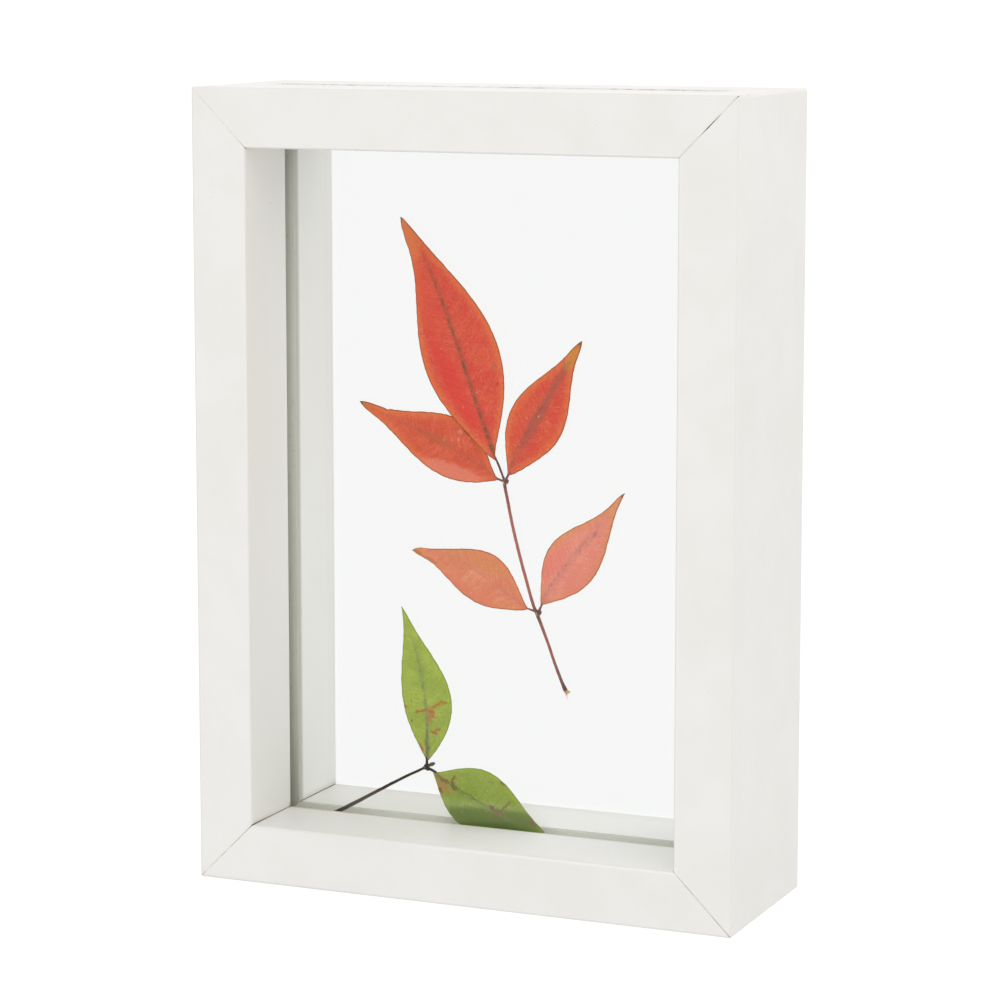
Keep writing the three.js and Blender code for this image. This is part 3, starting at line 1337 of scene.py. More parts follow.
@dataclass
class TopSlot:
    """The slot that the glass goes in by: straight walls, with chipped lips at the top face."""

    frame: FrameSizes
    depth: float = 9.6
    flare: float = 0.16
    flare_depth: float = 0.3
    levels: tuple[float, ...] = (-1.0, 0.0, 0.06, 0.13, 0.22, 0.35, 0.55, 0.9, 1.5, 4.0)
    point_pitch: float = 0.45
    end_steps: int = 8
    chips: int = 46
    chip_half: tuple[float, float] = (0.4, 2.2)
    chip_bite: tuple[float, float] = (0.1, 0.55)
    chip_depth: tuple[float, float] = (0.15, 0.6)
    seed: int = 11

    def cut(self, rail: bpy.types.Object) -> None:
        """Cuts the slot out of the top rail.

        Args:
            rail: The rail, whose mesh is replaced.
        """
        cutter = self._cutter()
        cutter.data.materials.append(rail.data.materials[0])
        modifier = rail.modifiers.new("slot", "BOOLEAN")
        modifier.operation = "DIFFERENCE"
        modifier.solver = "EXACT"
        modifier.object = cutter
        graph = bpy.context.evaluated_depsgraph_get()
        mesh = bpy.data.meshes.new_from_object(rail.evaluated_get(graph))
        mesh.name = rail.name
        rail.modifiers.clear()
        rail.data = mesh
        bpy.data.objects.remove(cutter)

    def _cutter(self) -> bpy.types.Object:
        """Builds the solid that is taken away: rings of points, one below the other.

        Returns:
            The solid.
        """
        outline = self._outline()
        pits = self._pits()
        work = bmesh.new()
        rings = []
        for level in (*self.levels, self.depth):
            ring = []
            for x, y, out_x, out_y in outline:
                push = self._push(x, y, max(level, 0.0), pits)
                place = Vector((x + out_x * push, y + out_y * push, self.frame.height - level))
                ring.append(work.verts.new(place * MM))
            rings.append(ring)
        count = len(outline)
        for upper, lower in zip(rings, rings[1:]):
            for here in range(count):
                after = (here + 1) % count
                work.faces.new((upper[here], upper[after], lower[after], lower[here]))
        work.faces.new(rings[0])
        work.faces.new(rings[-1])
        bmesh.ops.recalc_face_normals(work, faces=work.faces)
        return modelled("slot_cutter", work)

    def _outline(self) -> list[tuple[float, float, float, float]]:
        """Walks round the slot's outline.

        Returns:
            Its points as (x, y, outward x, outward y).
        """
        half_x = self.frame.slot_half_length
        half_y = self.frame.slot_half_width
        long_steps = round(2.0 * half_x / self.point_pitch)
        outline = []
        for side in (-1, 1):
            for step in range(long_steps + 1):
                x = side * (2.0 * half_x * step / long_steps - half_x)
                outline.append((x, side * -half_y, 0.0, float(-side)))
            for step in range(1, self.end_steps):
                y = -side * half_y * (1.0 - 2.0 * step / self.end_steps)
                outline.append((side * half_x, y, float(side), 0.0))
        return outline

    def _pits(self) -> list[tuple[float, float, float, float, float]]:
        """Draws the chips in the lips.

        Returns:
            Each chip as (x, side, half length, bite, depth).
        """
        draw = random.Random(self.seed)
        half_x = self.frame.slot_half_length
        pits = []
        for _number in range(self.chips):
            x = draw.uniform(-half_x, half_x)
            side = draw.choice((-1.0, 1.0))
            half = draw.uniform(*self.chip_half)
            bite = draw.uniform(*self.chip_bite)
            pits.append((x, side, half, bite, draw.uniform(*self.chip_depth)))
        return pits

    def _push(
        self, x: float, y: float, level: float, pits: list[tuple[float, float, float, float, float]]
    ) -> float:
        """How far the lip is worn back at one point.

        Args:
            x: The point's X.
            y: Its Y.
            level: Millimetres below the top face.
            pits: The chips.

        Returns:
            The wear, in millimetres.
        """
        push = self.flare * max(0.0, 1.0 - level / self.flare_depth) ** 2
        for at, side, half, bite, deep in pits:
            if side * y > 0.0 and abs(x - at) < half:
                bowl = (1.0 - ((x - at) / half) ** 2) * max(0.0, 1.0 - level / deep)
                push = max(push, bite * bowl)
        return push


@dataclass
class WoodFrame:
    """The four painted rails."""

    frame: FrameSizes
    crease_angle: float = 32.0

    def build(self) -> list[bpy.types.Object]:
        """Builds the rails and takes the place of their plain solids.

        Returns:
            The rails.
        """
        across = SatinPaint("white_paint_across", self.frame, Grain.ACROSS, shade_reach=0.9).material()
        upright = SatinPaint("white_paint_upright", self.frame, Grain.UPRIGHT).material()
        wood = BareWood("mitre_wood").material()
        rails = []
        for side in Side:
            paint = upright if side in (Side.LEFT, Side.RIGHT) else across
            rail = Rail(side, self.frame).build(paint, wood)
            if side is Side.TOP:
                TopSlot(self.frame).cut(rail)
            rail.data.set_sharp_from_angle(angle=math.radians(self.crease_angle))
            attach(rail, "root")
            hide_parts(side.value)
            LOG.info("%s: %d faces", rail.name, len(rail.data.polygons))
            rails.append(rail)
        return rails


# ---- glass


@dataclass
class GlassPair:
    """The two panes, each with its arrises ground off."""

    nodes: tuple[str, str] = ("front_glass_pane", "back_glass_pane")
    arris: float = 0.15

    def build(self) -> list[bpy.types.Object]:
        """Builds both panes in the place of their plain solids.

        Returns:
            The panes.
        """
        clear = ClearGlass("clear_glass").material()
        ground = GroundEdge("ground_glass_edge").material()
        panes = []
        for node in self.nodes:
            pane = self._pane(node, clear, ground)
            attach(pane, "root")
            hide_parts(node)
            LOG.info("%s: %d faces", pane.name, len(pane.data.polygons))
            panes.append(pane)
        return panes

    def _pane(self, node: str, clear: bpy.types.Material, ground: bpy.types.Material) -> bpy.types.Object:
        """Builds one pane.

        Args:
            node: The node it stands for.
            clear: The glass on its two faces.
            ground: The glass on its edges.

        Returns:
            The pane, in place.
        """
        low, high = (Vector(corner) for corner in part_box(node))
        work = bmesh.new()
        bmesh.ops.create_cube(work, size=1.0)
        fitted = Matrix.Translation((low + high) / 2.0) @ Matrix.Diagonal(high - low).to_4x4()
        bmesh.ops.transform(work, matrix=fitted, verts=work.verts)
        bmesh.ops.bevel(
            work, geom=work.edges[:], offset=self.arris * MM, segments=2, affect="EDGES", profile=0.5
        )
        bmesh.ops.recalc_face_normals(work, faces=work.faces)
        for face in work.faces:
            face.material_index = 0 if abs(face.normal.y) > 0.99 else 1
        return modelled(node + "_clear", work, clear, ground)


# ---- leaflets


@dataclass(frozen=True)
class HalfBlade:
    """One side of a leaflet: its half-width, where it is widest, how fast it narrows, and its flared ends."""

    width: float
    widest_at: float
    sharpness: float
    tip: float = 0.0
    base: float = 0.0


@dataclass(frozen=True)
class Leaflet:
    """One leaflet: where it grows from, its outline, its layer between the panes, and its finish."""

    node: str
    base: tuple[float, float]
    length: float
    heading: float
    bow: float
    bow_at: float
    layer: int
    left: HalfBlade
    right: HalfBlade
    finish: LeafBlade
    slot: str
    wave: float = 0.16
    nick_at: float = 0.85
    nick_depth: float = 0.0
    veins: int = 13
    midrib: float = 0.17
    seed: int = 1


class LeafRecipe(Recipe):
    """Grows a leaflet from its outline: a thin closed blade, a raised midrib and raised side veins."""

    SINGLE_INPUTS = (
        "Length", "Bow", "Bow At", "Thickness", "Wave", "Midrib", "Side Vein", "Nick At", "Nick Depth",
        "Seed",
    )
    HALF_INPUTS = ("Width", "At", "Sharpness", "Tip", "Base")
    STATIONS = 150
    COLUMNS = 61
    VEIN_POINTS = 14
    RIB_POINTS = 110
    VEIN_SIDES = 6
    REACH = 0.17
    MIDRIB_SHARPNESS = 2.0
    TIP_FLARE = 12.0
    TIP_SCALE = 33.97
    BASE_FLARE = 16.0
    BASE_SCALE = 44.9
    TIP_HALF = 0.13
    TIP_ROUND = 0.4
    NICK_WIDTH = 0.012
    RAGGED = 0.5
    TAPER = 2.5
    SEAM = 0.4999
    MERGE = 0.0005
    MIDRIB_FROM = 0.004
    MIDRIB_SPAN = 0.93
    VEINS_FROM = 0.03
    VEINS_SPAN = 0.86
    VEIN_STRAY = 0.3
    VEIN_SPAN = 0.93

    def __init__(self) -> None:
        """Builds the tree."""
        halves = [f"{side} {part}" for side in ("Left", "Right") for part in self.HALF_INPUTS]
        inputs = {name: Kind.NUMBER for name in (*self.SINGLE_INPUTS, *halves)}
        inputs |= {name: Kind.COUNT for name in ("Stations", "Columns", "Vein Count")}
        super().__init__("leaflet", inputs | {"Material": Kind.MATERIAL})
        parts = [self._blade(), self._rib(), self._side_veins()]
        self.close(self.add("GeometryNodeJoinGeometry", None, {0: parts}))

    def _hump(self, along: Value, peak: "Value | float", sharpness: "Value | float") -> Value:
        """Builds a curve that is 0 at both ends and 1 at its peak.

        Args:
            along: 0 at the base to 1 at the tip.
            peak: Where the curve is highest.
            sharpness: How fast it falls away.

        Returns:
            The curve's height.
        """
        rise = (along / peak) ** peak
        fall = ((1.0 - along) / (1.0 - peak)) ** (1.0 - peak)
        return (rise * fall) ** sharpness

    def _half(self, along: Value, side: str) -> Value:
        """Finds the half-width of one side, from its hump and the flares at its tip and base.

        Args:
            along: 0 at the base to 1 at the tip.
            side: Left or Right.

        Returns:
            The half-width in millimetres.
        """
        hump = self._hump(along, self.given(side + " At"), self.given(side + " Sharpness"))
        near_tip = along ** self.TIP_FLARE * (1.0 - along) * self.TIP_SCALE
        near_base = (1.0 - along) ** self.BASE_FLARE * along * self.BASE_SCALE
        flares = near_tip * self.given(side + " Tip") + near_base * self.given(side + " Base")
        return self.given(side + " Width") * hump + flares

    def _point(self, along: Value, share: Value) -> tuple[Value, Value, Value, Value]:
        """Finds a point of the blade's middle surface.

        Args:
            along: 0 at the base to 1 at the tip.
            share: -1 at the right margin, 0 on the midrib and 1 at the left margin.

        Returns:
            Its X, its Z, how far it stands off the flat, and the half-width there.
        """
        given = self.given
        on_left = share > 0.0
        left = self._half(along, "Left")
        right = self._half(along, "Right")
        nick = (along - given("Nick At")) / self.NICK_WIDTH
        right = right * (1.0 - given("Nick Depth") * self.maths("EXPONENT", 0.0 - nick * nick))
        half = left * on_left + right * (1.0 - on_left)
        x = along * given("Length")
        ragged = self.noise(self.vector(x * 0.55, on_left * 9.0, given("Seed")), 1.0, 3.0, 0.6) - 0.5
        to_tip = self.maths("MINIMUM", (1.0 - along) * given("Length") / self.TIP_ROUND, 1.0)
        blunt = self.TIP_HALF * self.maths("SQRT", to_tip) * self.smooth(along, 0.9, 0.95)
        half = self.maths("MAXIMUM", half + ragged * self.RAGGED * self.smooth(half, 0.0, 1.5), blunt)
        middle = given("Bow") * self._hump(along, given("Bow At"), self.MIDRIB_SHARPNESS)
        z = middle + share * half
        rolling = self.noise(self.vector(x * 0.07, z * 0.12, given("Seed") * 3.0), 1.0, 2.0, 0.5) - 0.5
        return x, z, rolling * 2.0 * given("Wave"), half

    def _full(self, half: Value) -> Value:
        """How full the blade is, from 0 where it ends in a point to 1 where it is wide."""
        return self.maths("MINIMUM", half * self.TAPER, 1.0)

    def _skin(self, share: Value, half: Value) -> Value:
        """How far the blade's two faces stand off its middle surface, in millimetres."""
        thin = self.maths("SQRT", self.maths("MAXIMUM", 1.0 - abs(share) ** 8.0, 0.0))
        return self.given("Thickness") * 0.5 * self._full(half) * thin

    def _kept(self, shape: Value, along: Value, share: Value, vein: Value, place: Value) -> Value:
        """Stores what the finish reads, and moves the points of a shape to their places.

        Args:
            shape: The shape.
            along: 0 at the base to 1 at the tip.
            share: -1 at the right margin to 1 at the left margin.
            vein: 1 on the midrib, 0.5 on a side vein, 0 on the blade.
            place: Where each point goes.

        Returns:
            The shape in place.
        """
        x, z, _lift, half = self._point(along, share)
        off = share * half
        rim = half * (1.0 - abs(share))
        reach = abs(share) ** 1.18 * self.REACH
        flow = (along - reach) / (1.0 - reach) * self.given("Length")
        shape = self.store(shape, "blade", self.vector(along, off, rim), "FLOAT_VECTOR")
        shape = self.store(shape, "place", self.vector(x, z, 0.0), "FLOAT_VECTOR")
        shape = self.store(shape, "veins", self.vector(flow, vein, 0.0), "FLOAT_VECTOR")
        return self.move(shape, place)

    def _blade(self) -> Value:
        """Builds the closed blade: a grid wrapped round from one margin over the front, and back behind.

        Returns:
            The blade.
        """
        sockets = {
            "Size X": 1.0, "Size Y": 1.0,
            "Vertices X": self.given("Stations"), "Vertices Y": self.given("Columns"),
        }
        grid = self.add("GeometryNodeMeshGrid", None, sockets)
        u, v, _w = self.split(self.add("GeometryNodeInputPosition"))
        swept = self.maths("COSINE", (u + 0.5) * math.pi)
        along = self.add("ShaderNodeClamp", None, {0: (1.0 - swept) * 0.5})
        round_way = v + 0.5
        triangle = 1.0 - abs(round_way * 4.0 - 2.0)
        share = self.maths("SINE", triangle * (math.pi / 2.0))
        behind = round_way > 0.5
        x, z, lift, half = self._point(along, share)
        y = lift * self._full(half) + (behind * 2.0 - 1.0) * self._skin(share, half)
        sealed = self.maths("MAXIMUM", abs(v) > self.SEAM, abs(u) > self.SEAM)
        shape = self.store(grid, "sealed", sealed, "FLOAT")
        shape = self._kept(shape, along, share, 0.0 * along, self.vector(x, y, z))
        sockets = {"Geometry": shape, "Selection": self.stored("sealed"), "Distance": self.MERGE}
        return self.add("GeometryNodeMergeByDistance", None, sockets)

    def _straight(self, points: int) -> Value:
        """Draws a straight curve, one unit long.

        Args:
            points: How many points it has.

        Returns:
            The curve.
        """
        ends = {"Start": (0.0, 0.0, 0.0), "End": (1.0, 0.0, 0.0)}
        line = self.add("GeometryNodeCurvePrimitiveLine", None, ends)
        return self.add("GeometryNodeResampleCurve", {"mode": "COUNT"}, {"Curve": line, "Count": points})

    def _rib(self) -> Value:
        """Builds the midrib, a beaded tube that swells out of both faces of the blade.

        Returns:
            The midrib.
        """
        along = self.add("GeometryNodeSplineParameter") * self.MIDRIB_SPAN + self.MIDRIB_FROM
        x, z, lift, half = self._point(along, 0.0 * along)
        beads = self.noise(self.vector(x * 1.3, 0.0, self.given("Seed")), 1.0, 2.0, 0.6)
        radius = self.given("Midrib") * (0.62 + 0.5 * (1.0 - along)) * (0.8 + beads * 0.4)
        radius = radius * self.smooth(along, 0.94, 0.84) + 0.02
        shape = self.store(self._straight(self.RIB_POINTS), "girth", radius, "FLOAT")
        place = self.vector(x, lift * self._full(half), z)
        shape = self._kept(shape, along, 0.0 * along, 0.0 * along + 1.0, place)
        return self.sweep(shape, self.circle(self.VEIN_SIDES), self.stored("girth"))

    def _side_veins(self) -> Value:
        """Builds the side veins on both faces, as fine tubes from the midrib to near the margin.

        Returns:
            The side veins.
        """
        count = self.given("Vein Count")
        points = self.add("GeometryNodePoints", None, {"Count": count * 4.0})
        sockets = {"Points": points, "Instance": self._straight(self.VEIN_POINTS)}
        copies = self.add("GeometryNodeInstanceOnPoints", None, sockets)
        curves = self.add("GeometryNodeRealizeInstances", None, {"Geometry": copies})
        number = self.maths("FLOOR", (self.add("GeometryNodeInputIndex") + 0.5) / self.VEIN_POINTS)
        hand = self.maths("MODULO", number, 2.0)
        face = self.maths("MODULO", self.maths("FLOOR", (number + 0.01) / 2.0), 2.0)
        pair = self.maths("FLOOR", (number + 0.01) / 4.0)
        sockets = {2: -self.VEIN_STRAY, 3: self.VEIN_STRAY, "ID": pair * 2.0 + hand, "Seed": 7}
        stray = self.add("FunctionNodeRandomValue", {"data_type": "FLOAT"}, sockets).out(1)
        start = self.VEINS_FROM + self.VEINS_SPAN * (pair + 0.5 + stray) / count
        walk = self.add("GeometryNodeSplineParameter")
        share = (hand * 2.0 - 1.0) * self.VEIN_SPAN * (walk + 0.002) ** 0.85
        along = start + (1.0 - start) * self.REACH * walk
        x, z, lift, half = self._point(along, share)
        y = lift * self._full(half) + (face * 2.0 - 1.0) * self._skin(share, half)
        radius = self.given("Side Vein") * (1.0 - walk * 0.75) * self.smooth(half, 0.0, 2.5) + 0.006
        shape = self.store(curves, "girth", radius, "FLOAT")
        shape = self._kept(shape, along, share, 0.0 * along + 0.5, self.vector(x, y, z))
        return self.sweep(shape, self.circle(self.VEIN_SIDES), self.stored("girth"))


@dataclass
class Foliage:
    """All the leaflets, each grown by the same recipe."""

    leaflets: tuple[Leaflet, ...]
    thickness: float = 0.25
    side_vein: float = 0.055
    layer_step: float = 0.35

    def build(self) -> list[bpy.types.Object]:
        """Builds the leaflets in the place of their plain solids."""
        recipe = LeafRecipe()
        return [self._grow(recipe, leaflet) for leaflet in self.leaflets]

    def _grow(self, recipe: LeafRecipe, leaflet: Leaflet) -> bpy.types.Object:
        """Grows one leaflet.

        Args:
            recipe: The recipe.
            leaflet: The leaflet.

        Returns:
            The leaflet, in place.
        """
        given = {
            "Length": leaflet.length, "Bow": leaflet.bow, "Bow At": leaflet.bow_at,
            "Thickness": self.thickness, "Side Vein": self.side_vein, "Wave": leaflet.wave,
            "Midrib": leaflet.midrib, "Nick At": leaflet.nick_at, "Nick Depth": leaflet.nick_depth,
            "Seed": float(leaflet.seed), "Vein Count": leaflet.veins, "Stations": recipe.STATIONS,
            "Columns": recipe.COLUMNS, "Material": leaflet.finish.material(),
        }
        for side, half in (("Left", leaflet.left), ("Right", leaflet.right)):
            sizes = (half.width, half.widest_at, half.sharpness, half.tip, half.base)
            given |= {f"{side} {part}": size for part, size in zip(recipe.HALF_INPUTS, sizes)}
        piece = recipe.make(leaflet.node + "_dried", given)
        base = Vector((leaflet.base[0], leaflet.layer * self.layer_step, leaflet.base[1]))
        turn = Matrix.Rotation(-math.radians(leaflet.heading), 4, "Y")
        piece.data.transform(Matrix.Scale(MM, 4) @ Matrix.Translation(base) @ turn)
        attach(piece, "root")
        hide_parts(leaflet.node)
        LOG.info("%s: %d faces", piece.name, len(piece.data.polygons))
        return piece


# ---- stems


@dataclass(frozen=True)
class Joint:
    """A point on a stem: its place, its radius, and its tone from 0, dark, to 1, pale. 2 is a scuff."""

    x: float
    y: float
    z: float
    girth: float
    tone: float


Strand = tuple[Joint, ...]


def strand(*joints: tuple[float, float, float, float, float]) -> Strand:
    """Makes a strand from its joints' values, in the order that a joint has them."""
    return tuple(Joint(*joint) for joint in joints)


class TwigRecipe(Recipe):
    """Sweeps a wrinkled round section along every chain of edges."""

    SIDES = 12
    RIDGE = 0.1
    THINNEST = 0.012

    def __init__(self) -> None:
        """Builds the tree."""
        numbers = {name: Kind.NUMBER for name in ("Step", "Wobble", "Wrinkle", "Seed")}
        super().__init__("twig", {"Strands": Kind.SHAPE} | numbers | {"Material": Kind.MATERIAL})
        curves = self.add("GeometryNodeMeshToCurve", None, {"Mesh": self.given("Strands")})
        settings = {"spline_type": "CATMULL_ROM"}
        curves = self.add("GeometryNodeCurveSplineType", settings, {"Curve": curves})
        sockets = {"Curve": curves, "Length": self.given("Step")}
        curves = self.add("GeometryNodeResampleCurve", {"mode": "LENGTH"}, sockets)
        x, y, z = self.split(self.add("GeometryNodeInputPosition"))
        shifted = self.vector(x, y + self.given("Seed") * 5.0, z)
        drift = self.centred(self.noise(shifted, 0.35, 2.0, 0.5).out("Color"))
        sockets = {"Geometry": curves, "Offset": self.scaled(drift, self.given("Wobble"))}
        curves = self.add("GeometryNodeSetPosition", None, sockets)
        lumps = self.noise(shifted, 1.6, 2.0, 0.6) - 0.5
        girth = self.stored("girth") * (1.0 + lumps * self.given("Wrinkle"))
        skin = self.sweep(curves, self._section(), self.maths("MAXIMUM", girth, self.THINNEST))
        _across, _back, up = self.split(self.add("GeometryNodeInputNormal"))
        self.close(self.store(skin, "under", up, "FLOAT"))

    def _section(self) -> Value:
        """Draws the stem's section: a circle with every other point drawn in, like a dried stalk's ridges.

        Returns:
            The section, of radius 1.
        """
        ridge = self.maths("MODULO", self.add("GeometryNodeInputIndex"), 2.0)
        place = self.scaled(self.add("GeometryNodeInputPosition"), 1.0 - ridge * self.RIDGE)
        return self.move(self.circle(self.SIDES), place)


@dataclass
class Stem:
    """One sprig's stem with its nodes and petioles, as strands that one recipe turns into stalks."""

    node: str
    slot: str
    finish: DriedStem
    strands: tuple[Strand, ...]
    seed: int
    plump: float
    wobble: float = 0.12
    step: float = 0.12
    wrinkle: float = 0.3
    thickest: float = 0.58

    def build(self, recipe: TwigRecipe) -> bpy.types.Object:
        """Builds the stem in the place of its plain solid.

        Args:
            recipe: The recipe for stalks.

        Returns:
            The stem, in place.
        """
        given = {
            "Step": self.step, "Wobble": self.wobble, "Wrinkle": self.wrinkle,
            "Seed": float(self.seed), "Material": self.finish.material(),
        }
        piece = recipe.make(self.node + "_dried", given, self._host())
        piece.data.transform(Matrix.Scale(MM, 4))
        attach(piece, "root")
        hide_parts(self.node)
        LOG.info("%s: %d faces", piece.name, len(piece.data.polygons))
        return piece

    def _host(self) -> bpy.types.Mesh:
        """Lays the strands out as chains of edges that hold their girth and tone.

        Returns:
            The chains.
        """
        joints = [joint for strand in self.strands for joint in strand]
        edges = []
        start = 0
        for strand in self.strands:
            edges += [(start + step, start + step + 1) for step in range(len(strand) - 1)]
            start += len(strand)
        mesh = bpy.data.meshes.new(self.node + "_strands")
        mesh.from_pydata([(joint.x, joint.y, joint.z) for joint in joints], edges, [])
        girths = [min(joint.girth * self.plump, self.thickest) for joint in joints]
        for name, values in (("girth", girths), ("tone", [joint.tone for joint in joints])):
            mesh.attributes.new(name, "FLOAT", "POINT").data.foreach_set("value", values)
        return mesh


def red_strands() -> tuple[Strand, ...]:
    """Lists the red sprig's stalks: the rachis, its petioles, its swollen nodes and its frayed cut end.

    Returns:
        One strand for each stalk.
    """
    rachis = strand(
        (2.0, 0.0, 90.2, 0.27, 0.0), (1.98, 0.0, 89.4, 0.27, 0.1), (2.45, 0.02, 86.9, 0.25, 0.5),
        (4.25, 0.04, 78.6, 0.25, 0.9), (6.65, 0.02, 70.0, 0.25, 0.8), (8.75, 0.0, 63.2, 0.25, 0.5),
        (9.6, 0.0, 61.4, 0.29, 0.1), (10.15, 0.0, 60.0, 0.27, 0.4), (12.1, 0.0, 55.3, 0.235, 0.65),
        (14.25, 0.0, 49.6, 0.24, 0.5), (15.7, 0.0, 46.2, 0.27, 0.2), (16.3, 0.0, 45.0, 0.35, 0.0),
        (16.5, 0.0, 44.6, 0.3, 0.0),
    )
    terminal = strand(
        (2.0, 0.0, 89.9, 0.24, 0.1), (1.5, -0.08, 91.2, 0.19, 0.15), (0.8, -0.2, 93.0, 0.19, 0.1),
        (0.3, -0.31, 94.2, 0.17, 0.1), (-0.2, -0.36, 95.4, 0.12, 0.2),
    )
    upper_left = strand(
        (1.9, 0.05, 89.9, 0.24, 0.1), (1.4, 0.18, 89.9, 0.2, 0.3), (0.8, 0.3, 90.05, 0.18, 0.3),
        (0.1, 0.35, 90.35, 0.12, 0.3),
    )
    upper_right = strand(
        (2.1, 0.0, 89.9, 0.24, 0.1), (2.5, 0.0, 90.6, 0.2, 0.2), (2.9, 0.0, 91.3, 0.16, 0.2),
        (3.3, 0.0, 92.0, 0.12, 0.2),
    )
    lower_left = strand(
        (9.7, 0.0, 61.5, 0.24, 0.2), (9.0, 0.0, 61.75, 0.19, 0.3), (8.2, 0.0, 61.95, 0.17, 0.5),
        (7.3, 0.0, 62.25, 0.12, 0.5),
    )
    lower_right = strand(
        (9.9, 0.0, 61.5, 0.24, 0.2), (10.3, 0.0, 62.2, 0.2, 0.2), (10.7, 0.0, 63.0, 0.15, 0.3),
        (11.1, 0.0, 63.6, 0.12, 0.3),
    )
    upper_knob = strand(
        (2.0, 0.0, 90.4, 0.1, 0.1), (2.3, -0.05, 90.1, 0.4, 0.0), (2.5, -0.05, 89.7, 0.36, 0.0),
        (2.4, 0.0, 89.2, 0.12, 0.2),
    )
    upper_scuff = strand(
        (1.8, -0.4, 90.0, 0.05, 2.0), (1.95, -0.48, 89.6, 0.1, 2.0), (2.1, -0.4, 89.1, 0.04, 2.0),
    )
    lower_knob = strand(
        (9.9, 0.0, 62.1, 0.1, 0.1), (10.1, -0.05, 61.8, 0.38, 0.0), (10.2, -0.05, 61.4, 0.4, 0.1),
        (10.1, 0.0, 60.8, 0.14, 0.3),
    )
    lower_scuff = strand(
        (9.6, -0.4, 61.6, 0.05, 2.0), (9.75, -0.48, 61.2, 0.1, 2.0), (9.95, -0.4, 60.8, 0.05, 2.0),
    )
    strands = [rachis, terminal, upper_left, upper_right, lower_left, lower_right]
    strands += [upper_knob, upper_scuff, lower_knob, lower_scuff]
    return tuple(strands) + frayed_end(Vector((16.55, 0.0, 44.7)))


FRAY_SEED = 23
FRAY_FIBRES = 16


def frayed_end(root: Vector) -> tuple[Strand, ...]:
    """Draws the tuft of torn fibres at a cut end, and one long grey thread that hangs from it.

    Args:
        root: Where the fibres start.

    Returns:
        One strand for each fibre.
    """
    draw = random.Random(FRAY_SEED)
    strands = []
    for _number in range(FRAY_FIBRES):
        turn = math.radians(draw.uniform(-130.0, 10.0))
        reach = draw.uniform(0.45, 1.05)
        start = root + Vector((draw.uniform(-0.15, 0.2), draw.uniform(-0.25, 0.15), draw.uniform(-0.3, 0.2)))
        way = Vector((math.cos(turn), draw.uniform(-0.3, 0.1), math.sin(turn)))
        middle = start + way * reach * 0.55 + Vector((0.0, 0.0, 0.05))
        tip = start + way * reach
        tone = draw.uniform(1.7, 2.2)
        strands.append(strand((*start, 0.09, tone), (*middle, 0.07, tone), (*tip, 0.015, tone)))
    thread = strand(
        (root.x, 0.0, root.z - 0.1, 0.05, 0.7), (root.x + 0.25, 0.0, root.z - 0.9, 0.03, 0.8),
        (root.x + 0.3, 0.0, root.z - 1.7, 0.02, 0.8), (root.x + 0.2, 0.0, root.z - 2.2, 0.012, 0.9),
    )
    return tuple(strands) + (thread,)


def green_strands() -> tuple[Strand, ...]:
    """Lists the green sprig's stalks: the stem, two petioles, the sheathed node and the bud.

    Returns:
        One strand for each stalk.
    """
    stem = strand(
        (-43.0, 0.0, 10.1, 0.2, 0.5), (-41.9, 0.0, 10.7, 0.31, 0.1), (-38.9, 0.0, 12.25, 0.31, 0.1),
        (-33.5, 0.0, 15.3, 0.27, 0.1), (-28.0, 0.0, 18.5, 0.23, 0.1), (-22.2, 0.0, 21.8, 0.2, 0.15),
        (-17.8, 0.0, 24.1, 0.19, 0.3), (-16.6, 0.0, 24.75, 0.19, 0.1),
    )
    upright = strand(
        (-16.9, 0.0, 24.5, 0.25, 0.1), (-16.75, 0.0, 25.2, 0.2, 0.1), (-16.75, 0.0, 26.0, 0.16, 0.2),
        (-16.85, 0.0, 26.9, 0.12, 0.3),
    )
    lower = strand(
        (-16.9, 0.0, 24.5, 0.24, 0.0), (-16.2, 0.0, 24.25, 0.19, 0.0), (-15.4, 0.0, 23.98, 0.17, 0.0),
        (-14.4, 0.0, 23.55, 0.12, 0.1),
    )
    sheath = strand(
        (-17.6, 0.0, 24.2, 0.15, 0.4), (-17.1, -0.03, 24.45, 0.4, 0.3), (-16.7, -0.03, 24.7, 0.4, 0.1),
        (-16.3, 0.0, 24.9, 0.15, 0.1),
    )
    scuff = strand(
        (-17.2, -0.48, 24.5, 0.04, 2.0), (-16.95, -0.54, 24.65, 0.06, 2.0), (-16.6, -0.48, 24.8, 0.03, 2.0),
    )
    bud = strand(
        (-16.5, 0.0, 24.8, 0.16, 0.1), (-15.9, 0.0, 25.15, 0.26, 0.5), (-15.3, 0.0, 25.45, 0.25, 0.6),
        (-14.75, 0.0, 25.7, 0.05, 0.1),
    )
    collar = strand(
        (-17.15, 0.0, 25.2, 0.12, 0.3), (-16.95, 0.0, 24.8, 0.28, 0.3), (-16.65, 0.0, 24.35, 0.31, 0.2),
        (-16.2, 0.0, 24.0, 0.2, 0.1),
    )
    return (stem, upright, lower, sheath, collar, scuff, bud)


# ---- the sprigs' colours

RED_BARK = DriedStem(
    "red_stem_bark", pale=srgb(178, 98, 90), dark=srgb(108, 70, 68), scuff=srgb(208, 176, 104),
    underside_highlight=srgb(190, 116, 102),
)
GREEN_BARK = DriedStem(
    "green_stem_bark", pale=srgb(94, 86, 58), dark=srgb(36, 28, 20), scuff=srgb(176, 168, 160),
    underside_highlight=srgb(196, 148, 104),
)

